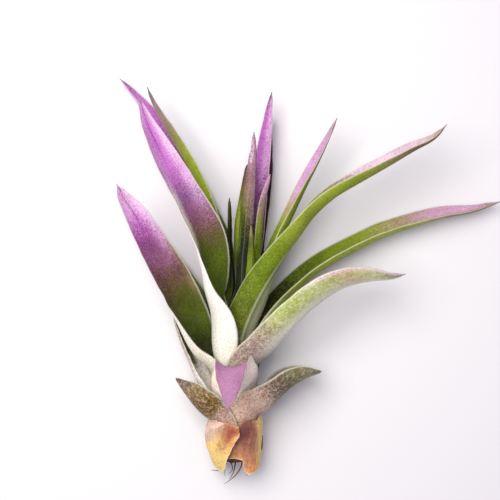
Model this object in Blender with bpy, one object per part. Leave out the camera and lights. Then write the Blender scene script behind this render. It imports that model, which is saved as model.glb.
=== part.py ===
# A velvet-leaved air plant, picked and lying on its side on a flat surface.
# +Y runs along the stem from its cut end to the leaf tips, +X is to the right and +Z is up.
# Lengths here are millimetres, which MM turns into Blender's metres as each vertex is placed.
import math

import bmesh
import bpy
import numpy as np

MM = 0.001

# The stem's axis, from the middle of its torn end to above its growing point
STEM_PATH = [
    (1.5, 0.0, 7.2),
    (0.2, 14.0, 9.2),
    (-0.5, 27.0, 11.2),
    (0.3, 38.0, 12.4),
    (2.3, 50.0, 13.0),
    (3.6, 62.0, 13.0),
]
STEM_LENGTH = 39.0
STEM_BASE_RADIUS = 5.6
STEM_TIP_RADIUS = 1.2
STEM_SIDES = 16
STEM_RINGS = 10
AXIS_STEPS = 240

CLEARANCE = 0.3  # between a sheath and the stem under it
SHEATH_FLARE = 0.28  # how fast a sheath's radius grows along the stem
HEART_FLARE = 0.12  # the same in the upright young leaves at its tip
FLARE_FALLS_FROM = 20.0  # rise above which leaves stand more upright
FLARE_FALL = 0.01
SHEATH_THICKNESS = 0.7
HEART_THICKNESS = 0.6
HEART_FROM = 30.0  # rise above which the leaves are the thin young ones
BLADE_THICKNESS = 0.9
TIP_THICKNESS = 0.6
HUSK_THICKNESS = 0.6
MARGIN_SHARE = 0.7  # thickness at a leaf's margins, as a share of its middle's
BLADE_STARTS = 0.3  # share of a leaf's length where the sheath has become the blade
LEAN_ENDS = 0.4  # and where a sheath that sits to one side of its midrib is even again

ACROSS = 6  # faces across a leaf
STATION_STEP = 4.6  # length of one face along a leaf
FINE_STEPS = 8  # steps inside one face, on which a leaf's turning is followed

ROOT_RADIUS = 0.32
CAP_MERGE = 0.000001  # metres; joins a root's end caps to its tube

LEAF_GREEN = (0.16, 0.22, 0.03)
DEEP_GREEN = (0.06, 0.09, 0.015)
VIOLET = (0.42, 0.14, 0.50)
FROSTED = (0.50, 0.56, 0.30)
LAVENDER = (0.55, 0.30, 0.60)
OLIVE_BROWN = (0.24, 0.18, 0.06)
DUSTY_PINK = (0.36, 0.22, 0.18)
HUSK_GOLD = (0.80, 0.55, 0.22)
HUSK_TAN = (0.50, 0.28, 0.15)
STEM_BROWN = (0.12, 0.05, 0.03)
LEAF_ROUGHNESS = 0.6
HUSK_ROUGHNESS = 0.75

# Each leaf: where it grows (rise along the stem, azimuth round it: 0 up, 90 right, 180 down),
# the half angle that its sheath wraps, the sheath's length, and then its midrib as rows of
# x, y, z, half width round the curve, half angle of the curl, turn about the midrib.
LEAVES = {
    "leaf_base_under": dict(
        rise=5.0, azimuth=170, wrap=54, sheath=4.5, color=OLIVE_BROWN,
        path=[
            (0.7, 12.9, 1.6, 5.0, 42, 0),
            (1.3, 17.8, 1.0, 3.6, 38, 0),
            (1.9, 22.8, 0.7, 2.0, 32, 0),
            (2.2, 26.5, 0.8, 0.3, 30, 0),
        ],
    ),
    "leaf_base_left": dict(
        rise=7.0, azimuth=-62, wrap=64, sheath=5.0, color=OLIVE_BROWN,
        path=[
            (-9.3, 13.7, 13.0, 9.6, 70, 0),
            (-12.8, 17.4, 13.7, 9.2, 74, -4),
            (-15.5, 21.1, 14.0, 6.6, 66, -4),
            (-17.9, 24.8, 14.0, 0.3, 45, -4),
        ],
    ),
    "leaf_base_right": dict(
        rise=9.0, azimuth=75, wrap=68, sheath=5.0, color=DUSTY_PINK,
        path=[
            (9.8, 15.4, 12.0, 9.2, 72, 0),
            (12.8, 18.5, 12.5, 9.8, 76, 0),
            (16.7, 22.0, 12.5, 9.6, 80, 0),
            (21.3, 24.8, 12.0, 6.6, 74, 0),
            (26.1, 26.5, 11.3, 0.3, 45, 0),
        ],
    ),
    "leaf_outer_left": dict(
        rise=10.0, azimuth=-112, wrap=58, sheath=5.0, color=DUSTY_PINK,
        path=[
            (-8.3, 19.0, 7.2, 5.4, 48, 0),
            (-11.2, 23.8, 7.4, 4.9, 54, 0),
            (-14.1, 30.2, 7.5, 4.5, 60, 0),
            (-16.7, 36.3, 7.8, 3.4, 58, 0),
            (-18.4, 41.8, 8.2, 1.8, 50, 0),
            (-19.1, 45.0, 8.5, 0.3, 40, 0),
        ],
    ),
    "leaf_under_right": dict(
        rise=12.5, azimuth=150, wrap=58, sheath=6.0, color=LEAF_GREEN,
        path=[
            (3.6, 26.0, 3.0, 5.8, 50, 0),
            (6.4, 33.9, 2.3, 5.4, 44, 0),
            (10.6, 40.0, 1.8, 4.8, 40, 0),
            (16.2, 45.8, 0.9, 4.1, 36, 0),
            (23.1, 49.9, 0.2, 2.6, 32, 0),
            (29.3, 52.9, 0.8, 1.6, 30, 0),
            (34.2, 54.8, 2.4, 0.3, 30, 0),
        ],
    ),
    "leaf_front_recurved": dict(
        rise=13.0, azimuth=-2, wrap=74, sheath=8.0, color=LAVENDER,
        path=[
            (0.3, 26.0, 21.9, 7.6, 65, 0),
            (-0.2, 28.6, 24.6, 6.4, 62, 0),
            (-0.8, 26.6, 27.8, 5.1, 50, 0),
            (-1.3, 22.6, 28.4, 3.3, 42, 0),
            (-2.3, 16.6, 26.9, 0.3, 30, 0),
        ],
    ),
    "leaf_under_left": dict(
        rise=15.5, azimuth=-165, wrap=56, sheath=6.0, color=LEAF_GREEN,
        path=[
            (-4.2, 29.0, 3.0, 5.8, 48, 0),
            (-8.2, 37.0, 2.2, 5.4, 42, 0),
            (-13.0, 47.0, 1.7, 4.8, 38, 0),
            (-17.9, 55.6, 0.9, 3.8, 34, 0),
            (-22.3, 63.2, 0.5, 2.6, 32, 0),
            (-26.0, 68.8, 1.1, 1.3, 30, 0),
            (-28.5, 72.5, 2.2, 0.3, 30, 0),
        ],
    ),
    "leaf_left": dict(
        rise=18.0, azimuth=-105, wrap=78, sheath=9.0, color=VIOLET,
        path=[
            (-11.9, 32.6, 9.8, 9.4, 78, -8),
            (-16.4, 44.2, 12.5, 8.4, 68, -27),
            (-19.9, 54.2, 15.0, 6.9, 50, -40),
            (-25.1, 64.7, 17.5, 5.3, 42, -47),
            (-30.0, 74.0, 19.0, 3.6, 36, -53),
            (-33.5, 79.5, 19.8, 1.8, 32, -55),
            (-35.1, 82.7, 20.0, 0.3, 30, -55),
        ],
    ),
    "leaf_front_right": dict(
        rise=19.5, azimuth=50, wrap=72, sheath=9.0, color=FROSTED,
        path=[
            (10.0, 32.8, 17.5, 9.2, 70, 0),
            (15.1, 38.7, 19.5, 9.2, 66, 3),
            (19.5, 43.5, 20.8, 9.0, 64, 6),
            (24.0, 47.4, 21.6, 9.2, 65, 9),
            (28.9, 50.8, 22.0, 9.0, 66, 12),
            (34.5, 53.2, 21.8, 8.0, 66, 17),
            (40.7, 54.4, 21.0, 6.0, 64, 23),
            (46.3, 54.9, 20.2, 3.2, 55, 30),
            (50.4, 56.1, 19.8, 0.3, 40, 34),
        ],
    ),
    "leaf_front_left": dict(
        rise=22.4, azimuth=-60, wrap=54, lean=-20, sheath=10.0, color=VIOLET,
        path=[
            (-6.4, 41.6, 16.7, 7.8, 54, -12),
            (-8.3, 51.3, 17.8, 8.6, 70, -46),
            (-8.7, 57.6, 19.0, 8.3, 67, -60),
            (-9.5, 66.2, 20.5, 7.3, 62, -78),
            (-14.5, 77.9, 22.0, 5.7, 52, -85),
            (-21.5, 91.2, 22.5, 4.3, 46, -88),
            (-26.3, 101.6, 21.5, 2.1, 40, -90),
            (-28.4, 108.2, 20.5, 0.3, 30, -90),
        ],
    ),
    "leaf_right_low": dict(
        rise=25.0, azimuth=108, wrap=66, sheath=8.0, color=LEAF_GREEN,
        path=[
            (9.0, 40.6, 9.0, 6.8, 64, 0),
            (13.9, 46.7, 8.2, 6.5, 63, 0),
            (19.7, 52.5, 7.5, 6.4, 62, 2),
            (25.2, 56.9, 6.8, 6.4, 62, 2),
            (30.5, 60.1, 6.3, 6.3, 62, 2),
            (37.3, 63.7, 5.8, 6.1, 62, 2),
            (45.0, 67.5, 5.4, 5.6, 60, 4),
            (54.3, 70.7, 5.0, 4.8, 56, 6),
            (63.9, 73.5, 4.7, 3.7, 50, 8),
            (73.5, 75.4, 4.5, 2.0, 44, 10),
            (81.5, 78.1, 4.5, 0.3, 40, 10),
        ],
    ),
    "leaf_back_left_low": dict(
        rise=27.2, azimuth=-125, wrap=35, lean=28, sheath=12.0, color=VIOLET,
        path=[
            (-5.0, 49.0, 5.8, 4.4, 44, -22),
            (-7.5, 61.7, 5.0, 4.8, 44, -22),
            (-11.6, 76.2, 3.4, 5.0, 44, -22),
            (-16.4, 87.4, 1.5, 4.4, 40, -26),
            (-21.4, 97.4, 0.3, 3.4, 36, -32),
            (-27.6, 106.7, 0.8, 2.0, 32, -32),
            (-32.5, 112.4, 2.2, 1.1, 30, -32),
            (-36.0, 116.3, 4.0, 0.3, 30, -32),
        ],
    ),
    "leaf_right_arching": dict(
        rise=28.0, azimuth=20, wrap=74, sheath=10.0, color=LEAF_GREEN,
        path=[
            (6.4, 48.4, 19.6, 6.6, 72, 2),
            (12.7, 59.1, 20.5, 6.0, 74, 32),
            (19.0, 67.6, 20.5, 5.9, 78, 54),
            (23.5, 73.6, 20.5, 5.8, 80, 66),
            (29.0, 78.6, 20.5, 5.5, 78, 70),
            (36.2, 83.0, 20.3, 4.9, 74, 74),
            (43.5, 87.2, 20.0, 4.1, 68, 78),
            (52.7, 92.7, 19.5, 2.9, 60, 82),
            (59.5, 96.7, 19.2, 1.4, 50, 84),
            (62.8, 100.5, 19.0, 0.3, 40, 84),
        ],
    ),
    "leaf_back_left_upright": dict(
        rise=32.8, azimuth=-149, wrap=24, lean=3, sheath=12.0, color=LEAF_GREEN,
        path=[
            (-2.5, 50.0, 8.0, 3.0, 44, 14),
            (-4.4, 65.9, 10.6, 4.8, 62, 46),
            (-8.0, 75.3, 11.2, 4.6, 66, 58),
            (-12.0, 84.7, 11.0, 4.2, 66, 60),
            (-16.2, 92.3, 10.5, 3.7, 64, 60),
            (-21.0, 100.3, 9.8, 2.8, 60, 60),
            (-25.2, 108.3, 9.0, 1.4, 50, 60),
            (-26.9, 112.9, 8.8, 0.3, 40, 60),
        ],
    ),
    "leaf_right_upright": dict(
        rise=31.2, azimuth=100, wrap=31, sheath=12.0, color=LEAF_GREEN,
        path=[
            (8.2, 51.0, 10.8, 3.0, 48, 0),
            (11.4, 60.8, 11.0, 4.5, 66, 0),
            (15.0, 69.0, 11.0, 4.3, 72, 0),
            (18.3, 76.2, 11.5, 3.9, 68, 4),
            (21.1, 82.3, 11.5, 3.4, 62, 8),
            (24.2, 88.6, 11.5, 2.7, 55, 14),
            (27.5, 95.6, 11.5, 1.6, 50, 16),
            (30.7, 103.1, 12.0, 0.3, 40, 16),
        ],
    ),
    "leaf_heart_newest": dict(
        rise=31.6, azimuth=12, wrap=30, sheath=10.0, color=LEAF_GREEN,
        path=[
            (3.6, 48.0, 18.2, 2.0, 40, 0),
            (4.4, 54.0, 18.8, 1.6, 45, 0),
            (4.8, 60.2, 19.6, 1.3, 45, 0),
            (4.9, 65.6, 20.2, 0.9, 45, 0),
            (4.7, 70.3, 20.8, 0.3, 40, 0),
        ],
    ),
    "leaf_heart_sliver": dict(
        rise=34.2, azimuth=-105, wrap=13, sheath=7.0, color=DEEP_GREEN,
        path=[
            (-1.0, 52.0, 10.2, 1.4, 40, 0),
            (-2.0, 63.2, 9.8, 1.4, 45, 0),
            (-2.0, 71.8, 9.4, 1.0, 45, 0),
            (-1.8, 79.1, 9.2, 0.3, 40, 0),
        ],
    ),
    "leaf_heart_low": dict(
        rise=30.0, azimuth=172, wrap=31, sheath=12.0, color=DEEP_GREEN,
        path=[
            (4.8, 50.0, 5.6, 3.1, 42, 0),
            (5.8, 66.3, 4.6, 3.6, 44, 0),
            (7.5, 78.7, 3.4, 3.5, 42, 0),
            (8.9, 91.1, 2.6, 2.8, 38, 0),
            (9.8, 98.8, 2.6, 1.5, 32, 0),
            (10.2, 104.7, 3.1, 0.3, 30, 0),
        ],
    ),
    "leaf_heart_front": dict(
        rise=34.8, azimuth=-16, wrap=36, sheath=10.0, color=LEAF_GREEN,
        path=[
            (1.8, 52.0, 17.0, 2.2, 46, 0),
            (2.2, 60.0, 16.8, 2.5, 56, 0),
            (2.8, 66.2, 17.0, 2.6, 58, 0),
            (3.4, 75.1, 17.2, 2.5, 58, 0),
            (4.3, 84.1, 17.0, 2.0, 55, 0),
            (5.3, 93.1, 16.5, 1.0, 50, 0),
            (5.6, 98.5, 16.5, 0.3, 40, 0),
        ],
    ),
    "leaf_heart_right": dict(
        rise=35.2, azimuth=62, wrap=34, sheath=10.0, color=LEAF_GREEN,
        path=[
            (6.5, 53.0, 14.8, 2.1, 46, 0),
            (7.2, 61.7, 15.0, 2.1, 54, 0),
            (7.7, 69.2, 15.2, 2.1, 56, 0),
            (8.4, 76.4, 15.5, 1.9, 52, 0),
            (9.5, 81.8, 15.8, 1.3, 48, 0),
            (10.4, 85.9, 16.0, 0.3, 40, 0),
        ],
    ),
    "leaf_heart_left": dict(
        rise=37.6, azimuth=-82, wrap=24, sheath=8.0, color=LEAF_GREEN,
        path=[
            (0.6, 53.0, 12.0, 1.7, 46, 0),
            (0.0, 63.2, 11.8, 2.4, 52, 0),
            (0.1, 71.1, 11.2, 2.5, 52, 0),
            (1.7, 79.9, 11.0, 1.8, 45, 0),
            (3.5, 89.1, 11.0, 0.3, 40, 0),
        ],
    ),
    "leaf_heart_tall": dict(
        rise=37.0, azimuth=180, wrap=38, sheath=9.0, color=VIOLET,
        path=[
            (3.8, 51.0, 8.6, 2.4, 46, 0),
            (4.7, 60.0, 8.8, 3.0, 50, 0),
            (5.5, 66.3, 8.4, 3.3, 50, 0),
            (6.4, 75.5, 7.8, 3.2, 50, 0),
            (7.4, 84.7, 7.2, 2.9, 48, 0),
            (8.6, 93.9, 6.8, 2.4, 45, 0),
            (9.9, 103.7, 6.8, 1.4, 40, 0),
            (11.1, 111.6, 7.0, 0.3, 30, 0),
        ],
    ),
}

# Each husk is an old sheath that has dried: rows of rise, azimuth, radius, half angle wrapped.
HUSKS = {
    "husk_under": dict(
        color=HUSK_TAN,
        rows=[
            (-2.0, 178, 7.1, 62),
            (1.5, 178, 7.75, 64),
            (5.0, 180, 8.2, 58),
            (7.6, 182, 8.4, 34),
            (9.6, 184, 8.5, 4),
        ],
    ),
    "husk_right": dict(
        color=HUSK_TAN,
        rows=[
            (-3.0, 40, 6.3, 58),
            (2.0, 46, 6.4, 56),
            (6.0, 44, 7.2, 54),
            (10.0, 36, 7.9, 32),
            (13.0, 29, 8.2, 3),
        ],
    ),
    "husk_left": dict(
        color=HUSK_GOLD,
        rows=[
            (-2.8, -68, 6.9, 36),
            (1.0, -68, 8.4, 42),
            (4.5, -60, 9.5, 54),
            (8.0, -46, 9.6, 46),
            (11.5, -14, 9.3, 4),
        ],
    ),
}

# Wiry roots: each starts inside the stem's torn end.
ROOTS = [
    [(-2.6, 1.5, 7.4), (-4.0, -2.6, 6.8), (-4.9, -4.8, 5.8), (-7.2, -5.4, 4.6)],
    [(-2.0, 1.5, 8.2), (-3.2, -2.8, 8.0), (-3.3, -6.0, 7.2)],
    [(0.4, 1.5, 7.0), (-0.2, -2.8, 6.8), (-0.8, -5.3, 6.0), (-2.0, -7.4, 4.6)],
    [(1.8, 1.5, 8.2), (1.8, -2.6, 8.0), (0.6, -5.0, 7.2), (-1.2, -7.0, 6.0), (-3.7, -9.0, 4.4)],
    [(2.6, 1.5, 6.0), (3.2, -2.4, 5.4), (2.8, -5.0, 4.0), (3.6, -6.6, 2.4)],
    [(-0.6, 1.5, 5.4), (-1.4, -2.2, 4.6), (-1.0, -4.6, 3.0), (-2.2, -6.4, 1.4)],
]


def clear_scene():
    for obj in list(bpy.data.objects):
        bpy.data.objects.remove(obj)


def material(name, color, roughness):
    made = bpy.data.materials.new(name)
    made.use_nodes = True
    shader = made.node_tree.nodes["Principled BSDF"]
    shader.inputs["Base Color"].default_value = (*color, 1)
    shader.inputs["Roughness"].default_value = roughness
    shader.inputs["Metallic"].default_value = 0
    return made


def unit(vector):
    return vector / np.linalg.norm(vector)


def smooth_rows(rows, count):
    """The rows' smooth curve, read at count + 1 places the same distance apart."""
    steps = np.linalg.norm(np.diff(rows[:, :3], axis=0), axis=1)
    knots = np.concatenate([[0], np.cumsum(steps)])
    slopes = np.gradient(rows, knots, axis=0)
    places = np.linspace(0, knots[-1], count + 1)
    found = np.clip(np.searchsorted(knots, places, side="right") - 1, 0, len(steps) - 1)
    span = steps[found][:, None]
    part = ((places - knots[found])[:, None]) / span
    from_row = rows[found] * (2 * part**3 - 3 * part**2 + 1)
    to_row = rows[found + 1] * (3 * part**2 - 2 * part**3)
    from_slope = slopes[found] * span * (part**3 - 2 * part**2 + part)
    to_slope = slopes[found + 1] * span * (part**3 - part**2)
    return from_row + to_row + from_slope + to_slope


AXIS = smooth_rows(np.array(STEM_PATH), AXIS_STEPS)
AXIS_RISES = np.concatenate([[0], np.cumsum(np.linalg.norm(np.diff(AXIS, axis=0), axis=1))])
AXIS_ALONG = np.gradient(AXIS, axis=0)


def read_along(values, rise):
    """One of the axis's lists of vectors, read at a rise; below the torn end it runs straight on."""
    return np.array([np.interp(rise, AXIS_RISES, column) for column in values.T])


def around_stem(rise, azimuth, radius):
    """A point at a distance from the stem's axis, and the direction out to it."""
    along = unit(read_along(AXIS_ALONG, rise))
    right = unit(np.cross(along, (0, 0, 1)))
    up = np.cross(right, along)
    angle = math.radians(azimuth)
    out = up * math.cos(angle) + right * math.sin(angle)
    below = along * min(rise, 0)
    return read_along(AXIS, rise) + below + out * radius, out


def stem_radius(rise):
    share = rise / STEM_LENGTH
    return STEM_BASE_RADIUS + (STEM_TIP_RADIUS - STEM_BASE_RADIUS) * share


def on_stem(rise, azimuth, radius, wrap):
    """A midrib row for a sheath that curls round the stem's axis."""
    place, _ = around_stem(rise, azimuth, radius)
    return (*place, radius * math.radians(wrap), wrap, 0)


def leaf_rows(rise, azimuth, wrap, sheath, path):
    """The sheath's rows, on a cone that opens along the stem, and then the blade's own."""
    foot = stem_radius(rise) + CLEARANCE + SHEATH_THICKNESS / 2
    fallen = max(0, rise - FLARE_FALLS_FROM) * FLARE_FALL
    flare = max(SHEATH_FLARE - fallen, HEART_FLARE)
    rows = []
    for share in (0, 0.5, 1):
        gone = sheath * share
        rows.append(on_stem(rise + gone, azimuth, foot + flare * gone, wrap))
    return np.array(rows + path, dtype=float)


def face_frames(points, first_face):
    """The direction along the midrib and the direction that the leaf's inner face looks in."""
    along = np.gradient(points, axis=0)
    along /= np.linalg.norm(along, axis=1)[:, None]
    faces = np.empty_like(along)
    face = first_face
    for i, direction in enumerate(along):
        face = unit(face - direction * np.dot(face, direction))
        faces[i] = face
    return along, faces


def thickness_at(share, blade, sheath):
    """Middle thickness, from the sheath through the blade to the tip."""
    if share < BLADE_STARTS:
        return sheath + (blade - sheath) * share / BLADE_STARTS
    return blade + (TIP_THICKNESS - blade) * (share - BLADE_STARTS) / (1 - BLADE_STARTS)


def face_outward(bm):
    bmesh.ops.recalc_face_normals(bm, faces=bm.faces[:])
    if bm.calc_volume(signed=True) < 0:
        bmesh.ops.reverse_faces(bm, faces=bm.faces[:])


def curled_sheet(rows, first_face, blade, sheath, lean=0):
    """A closed thin solid along the rows, curled across, with its inner face as told.

    A lean shifts the sheath sideways round its midrib, in degrees, and is gone in the blade.
    """
    length = np.linalg.norm(np.diff(rows[:, :3], axis=0), axis=1).sum()
    stations = max(4, round(length / STATION_STEP))
    fine = smooth_rows(rows, stations * FINE_STEPS)
    along, faces = face_frames(fine[:, :3], first_face)
    bm = bmesh.new()
    bmesh.ops.create_grid(bm, x_segments=ACROSS, y_segments=stations, size=1)
    bmesh.ops.triangulate(bm, faces=bm.faces[:], quad_method="FIXED")
    inner = bm.verts[:]
    grown = bmesh.ops.extrude_face_region(bm, geom=bm.faces[:], use_keep_orig=True)
    outer = [item for item in grown["geom"] if isinstance(item, bmesh.types.BMVert)]
    for side, verts in ((0.5, inner), (-0.5, outer)):
        for vert in verts:
            share = (vert.co.y + 1) / 2
            i = round(share * stations) * FINE_STEPS
            across = vert.co.x
            x, y, z, half_width, curl, turn = fine[i]
            turned = math.radians(turn)
            level = np.cross(along[i], faces[i])
            face = faces[i] * math.cos(turned) + level * math.sin(turned)
            level = np.cross(along[i], face)
            bend = math.radians(max(curl, 1))
            radius = half_width / bend
            angle = across * bend + math.radians(lean) * max(0, 1 - share / LEAN_ENDS)
            middle = np.array((x, y, z)) + level * radius * math.sin(angle)
            middle += face * radius * (1 - math.cos(angle))
            normal = face * math.cos(angle) - level * math.sin(angle)
            thick = thickness_at(share, blade, sheath)
            thick *= 1 - (1 - MARGIN_SHARE) * across**2
            place = middle + normal * thick * side
            lowest = 0 if side < 0 else thick
            place[2] = max(place[2], lowest)
            vert.co = place * MM
    face_outward(bm)
    return bm


def finished(name, bm, color, roughness):
    mesh = bpy.data.meshes.new(name)
    bm.to_mesh(mesh)
    bm.free()
    mesh.materials.append(material(name, color, roughness))
    mesh.shade_smooth()
    mesh.set_sharp_from_angle(angle=math.radians(50))
    obj = bpy.data.objects.new(name, mesh)
    bpy.context.scene.collection.objects.link(obj)
    return obj


def build_leaf(name, rise, azimuth, wrap, sheath, path, color, lean=0):
    rows = leaf_rows(rise, azimuth, wrap, sheath, path)
    _, out = around_stem(rise, azimuth, 0)
    sheath_thickness = HEART_THICKNESS if rise > HEART_FROM else SHEATH_THICKNESS
    bm = curled_sheet(rows, -out, BLADE_THICKNESS, sheath_thickness, lean)
    return finished(name, bm, color, LEAF_ROUGHNESS)


def build_husk(name, color, rows):
    places = np.array([on_stem(*row) for row in rows])
    places[:, -1] = [row[1] - rows[0][1] for row in rows]  # keeps each section round the stem
    _, out = around_stem(rows[0][0], rows[0][1], 0)
    bm = curled_sheet(places, -out, HUSK_THICKNESS, HUSK_THICKNESS)
    return finished(name, bm, color, HUSK_ROUGHNESS)


def build_root(name, points):
    curve = bpy.data.curves.new(name, "CURVE")
    curve.dimensions = "3D"
    curve.bevel_depth = ROOT_RADIUS * MM
    curve.bevel_resolution = 1
    curve.use_fill_caps = True
    spline = curve.splines.new("POLY")
    spline.points.add(len(points) - 1)
    for point, place in zip(spline.points, points):
        point.co = (*(np.array(place) * MM), 1)
    guide = bpy.data.objects.new(name, curve)
    bpy.context.scene.collection.objects.link(guide)
    bpy.context.view_layer.update()
    graph = bpy.context.evaluated_depsgraph_get()
    mesh = bpy.data.meshes.new_from_object(guide.evaluated_get(graph))
    bpy.data.objects.remove(guide)
    bm = bmesh.new()
    bm.from_mesh(mesh)
    bmesh.ops.remove_doubles(bm, verts=bm.verts[:], dist=CAP_MERGE)
    face_outward(bm)
    bm.to_mesh(mesh)
    bm.free()
    return bpy.data.objects.new(name, mesh)


def build_stem():
    """The tapering stem that every leaf grows from, with its roots joined on."""
    bm = bmesh.new()
    bmesh.ops.create_cone(bm, cap_ends=True, segments=STEM_SIDES, radius1=1, radius2=1, depth=1)
    along = [e for e in bm.edges if abs(e.verts[0].co.z - e.verts[1].co.z) > 0.5]
    bmesh.ops.subdivide_edges(bm, edges=along, cuts=STEM_RINGS - 1, use_grid_fill=True)
    for vert in bm.verts:
        rise = STEM_LENGTH * (vert.co.z + 0.5)
        azimuth = math.degrees(math.atan2(vert.co.x, vert.co.y))
        place, _ = around_stem(rise, azimuth, stem_radius(rise))
        vert.co = place * MM
    face_outward(bm)
    stem = finished("stem_with_roots", bm, STEM_BROWN, HUSK_ROUGHNESS)
    roots = bpy.data.collections.new("roots")
    bpy.context.scene.collection.children.link(roots)
    for i, points in enumerate(ROOTS):
        roots.objects.link(build_root(f"root_{i}", points))
    union = stem.modifiers.new("roots", "BOOLEAN")
    union.operation = "UNION"
    union.operand_type = "COLLECTION"
    union.collection = roots
    bpy.context.view_layer.update()
    graph = bpy.context.evaluated_depsgraph_get()
    joined = bpy.data.meshes.new_from_object(stem.evaluated_get(graph))
    stem.modifiers.clear()
    stem.data = joined
    for obj in list(roots.objects):
        bpy.data.objects.remove(obj)
    bpy.data.collections.remove(roots)


clear_scene()
build_stem()
for husk_name, husk in HUSKS.items():
    build_husk(husk_name, **husk)
for leaf_name, leaf in LEAVES.items():
    build_leaf(leaf_name, **leaf)
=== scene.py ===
# A velvet-leaved air plant, picked and lying on its side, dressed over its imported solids.
# +Y runs along the stem to the leaf tips, +X is to the right and +Z is up.
# Shapes are in millimetres; mm turns them into metres as each vertex is placed.
import math

import bmesh
import bpy
import numpy as np
from mathutils import Matrix, Vector


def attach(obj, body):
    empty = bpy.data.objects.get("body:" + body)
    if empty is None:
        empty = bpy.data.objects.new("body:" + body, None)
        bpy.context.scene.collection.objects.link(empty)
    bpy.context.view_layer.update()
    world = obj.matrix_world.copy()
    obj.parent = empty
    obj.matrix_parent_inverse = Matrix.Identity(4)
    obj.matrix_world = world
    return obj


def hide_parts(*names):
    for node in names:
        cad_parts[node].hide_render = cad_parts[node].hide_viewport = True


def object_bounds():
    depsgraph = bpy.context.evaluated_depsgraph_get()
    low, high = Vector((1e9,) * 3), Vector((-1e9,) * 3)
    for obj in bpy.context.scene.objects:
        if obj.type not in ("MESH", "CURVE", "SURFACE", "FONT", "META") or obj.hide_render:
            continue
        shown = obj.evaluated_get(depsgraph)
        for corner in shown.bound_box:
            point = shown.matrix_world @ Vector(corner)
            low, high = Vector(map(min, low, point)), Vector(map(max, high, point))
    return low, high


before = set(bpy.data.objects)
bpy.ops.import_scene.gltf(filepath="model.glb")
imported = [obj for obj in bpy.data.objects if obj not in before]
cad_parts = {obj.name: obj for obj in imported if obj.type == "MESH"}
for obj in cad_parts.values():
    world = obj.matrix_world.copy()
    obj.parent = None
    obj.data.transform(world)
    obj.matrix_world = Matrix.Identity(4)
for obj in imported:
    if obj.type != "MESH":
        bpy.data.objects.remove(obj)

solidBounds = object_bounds()
mm = 0.001

# Colours as a screen shows them, 0 to 255
palette = dict(
    white=(246, 244, 236), cream=(230, 228, 206), warmWhite=(255, 242, 228), frost=(196, 198, 178),
    paleGreen=(178, 188, 116), pollen=(168, 180, 84), limeGreen=(146, 164, 44), spring=(132, 146, 44),
    freshGreen=(104, 128, 0), green=(84, 106, 0), olive=(76, 82, 0), deepGreen=(44, 58, 8),
    # the near-black green is painted shade deep in the rosette
    shadeBlackGreen=(16, 24, 4), tan=(136, 124, 84), oliveBrown=(90, 76, 26), scurf=(112, 88, 16),
    umber=(108, 76, 64), duskyMauve=(130, 92, 96), greyMauve=(134, 110, 116), mauve=(150, 116, 134),
    plum=(140, 86, 124), violet=(182, 108, 184), blueViolet=(128, 86, 134), deepViolet=(104, 46, 110),
    magenta=(140, 66, 136), wine=(76, 20, 50), lilac=(200, 154, 198), lavender=(164, 115, 152),
    pink=(204, 158, 196), pinkWhite=(216, 188, 216), paleRose=(216, 190, 208), blush=(222, 186, 168),
    pinkTan=(178, 152, 136), clay=(176, 122, 92), apricot=(210, 144, 92), gold=(224, 192, 116),
    amber=(184, 122, 46), huskTan=(174, 118, 80), huskWine=(104, 52, 48), rust=(130, 58, 30),
    redBrown=(84, 30, 18), greyTip=(98, 90, 86), darkTip=(60, 48, 50), paper=(212, 211, 214),
)
# Darker tones in linear light, creaseShade being painted shade in a midrib's crease; the last two are
# multiplied onto a colour
veinShade = (0.02, 0.02, 0.01, 1)
creaseShade = (0.08, 0.02, 0.09, 1)
stippleShade = (0.38, 0.3, 0.36, 1)
mottleShade = (0.4, 0.28, 0.14, 1)


def unit(vectors):
    return vectors / np.linalg.norm(vectors, axis=-1, keepdims=True)


def ease(values, low, high):
    part = np.clip((values - low) / (high - low), 0, 1)
    return part * part * (3 - 2 * part)


def stepLengths(points):
    return np.linalg.norm(np.diff(points, axis=0), axis=1)


def smoothRows(rows, count):
    # evenly spaced rows on a smooth curve through the given ones
    steps = stepLengths(rows[:, :3])
    knots = np.concatenate([[0], np.cumsum(steps)])
    slopes = np.gradient(rows, knots, axis=0)
    places = np.linspace(0, knots[-1], count + 1)
    found = np.clip(np.searchsorted(knots, places, side="right") - 1, 0, len(steps) - 1)
    span = steps[found][:, None]
    part = ((places - knots[found])[:, None]) / span
    fromRow = rows[found] * (2 * part**3 - 3 * part**2 + 1)
    toRow = rows[found + 1] * (3 * part**2 - 2 * part**3)
    fromSlope = slopes[found] * span * (part**3 - 2 * part**2 + part)
    toSlope = slopes[found + 1] * span * (part**3 - part**2)
    return fromRow + toRow + fromSlope + toSlope


def seedOf(name):
    return sum(ord(letter) for letter in name)


ripples = dict(phases=31, turn=6.28, shift=1.7)


def ripple(name, share, waves):
    phase = seedOf(name) % ripples["phases"]
    angles = (share * wave * ripples["turn"] + phase * (i + ripples["shift"]) for i, wave in enumerate(waves))
    return sum(np.sin(angle) for angle in angles) / len(waves)


def toMesh(bm, mesh):
    bm.to_mesh(mesh)
    bm.free()
    return mesh


def readPlaces(mesh):
    places = np.zeros(len(mesh.vertices) * 3)
    mesh.vertices.foreach_get("co", places)
    return places.reshape(-1, 3)


def placeVertices(mesh, places):
    mesh.vertices.foreach_set("co", (places * mm).ravel())


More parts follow.
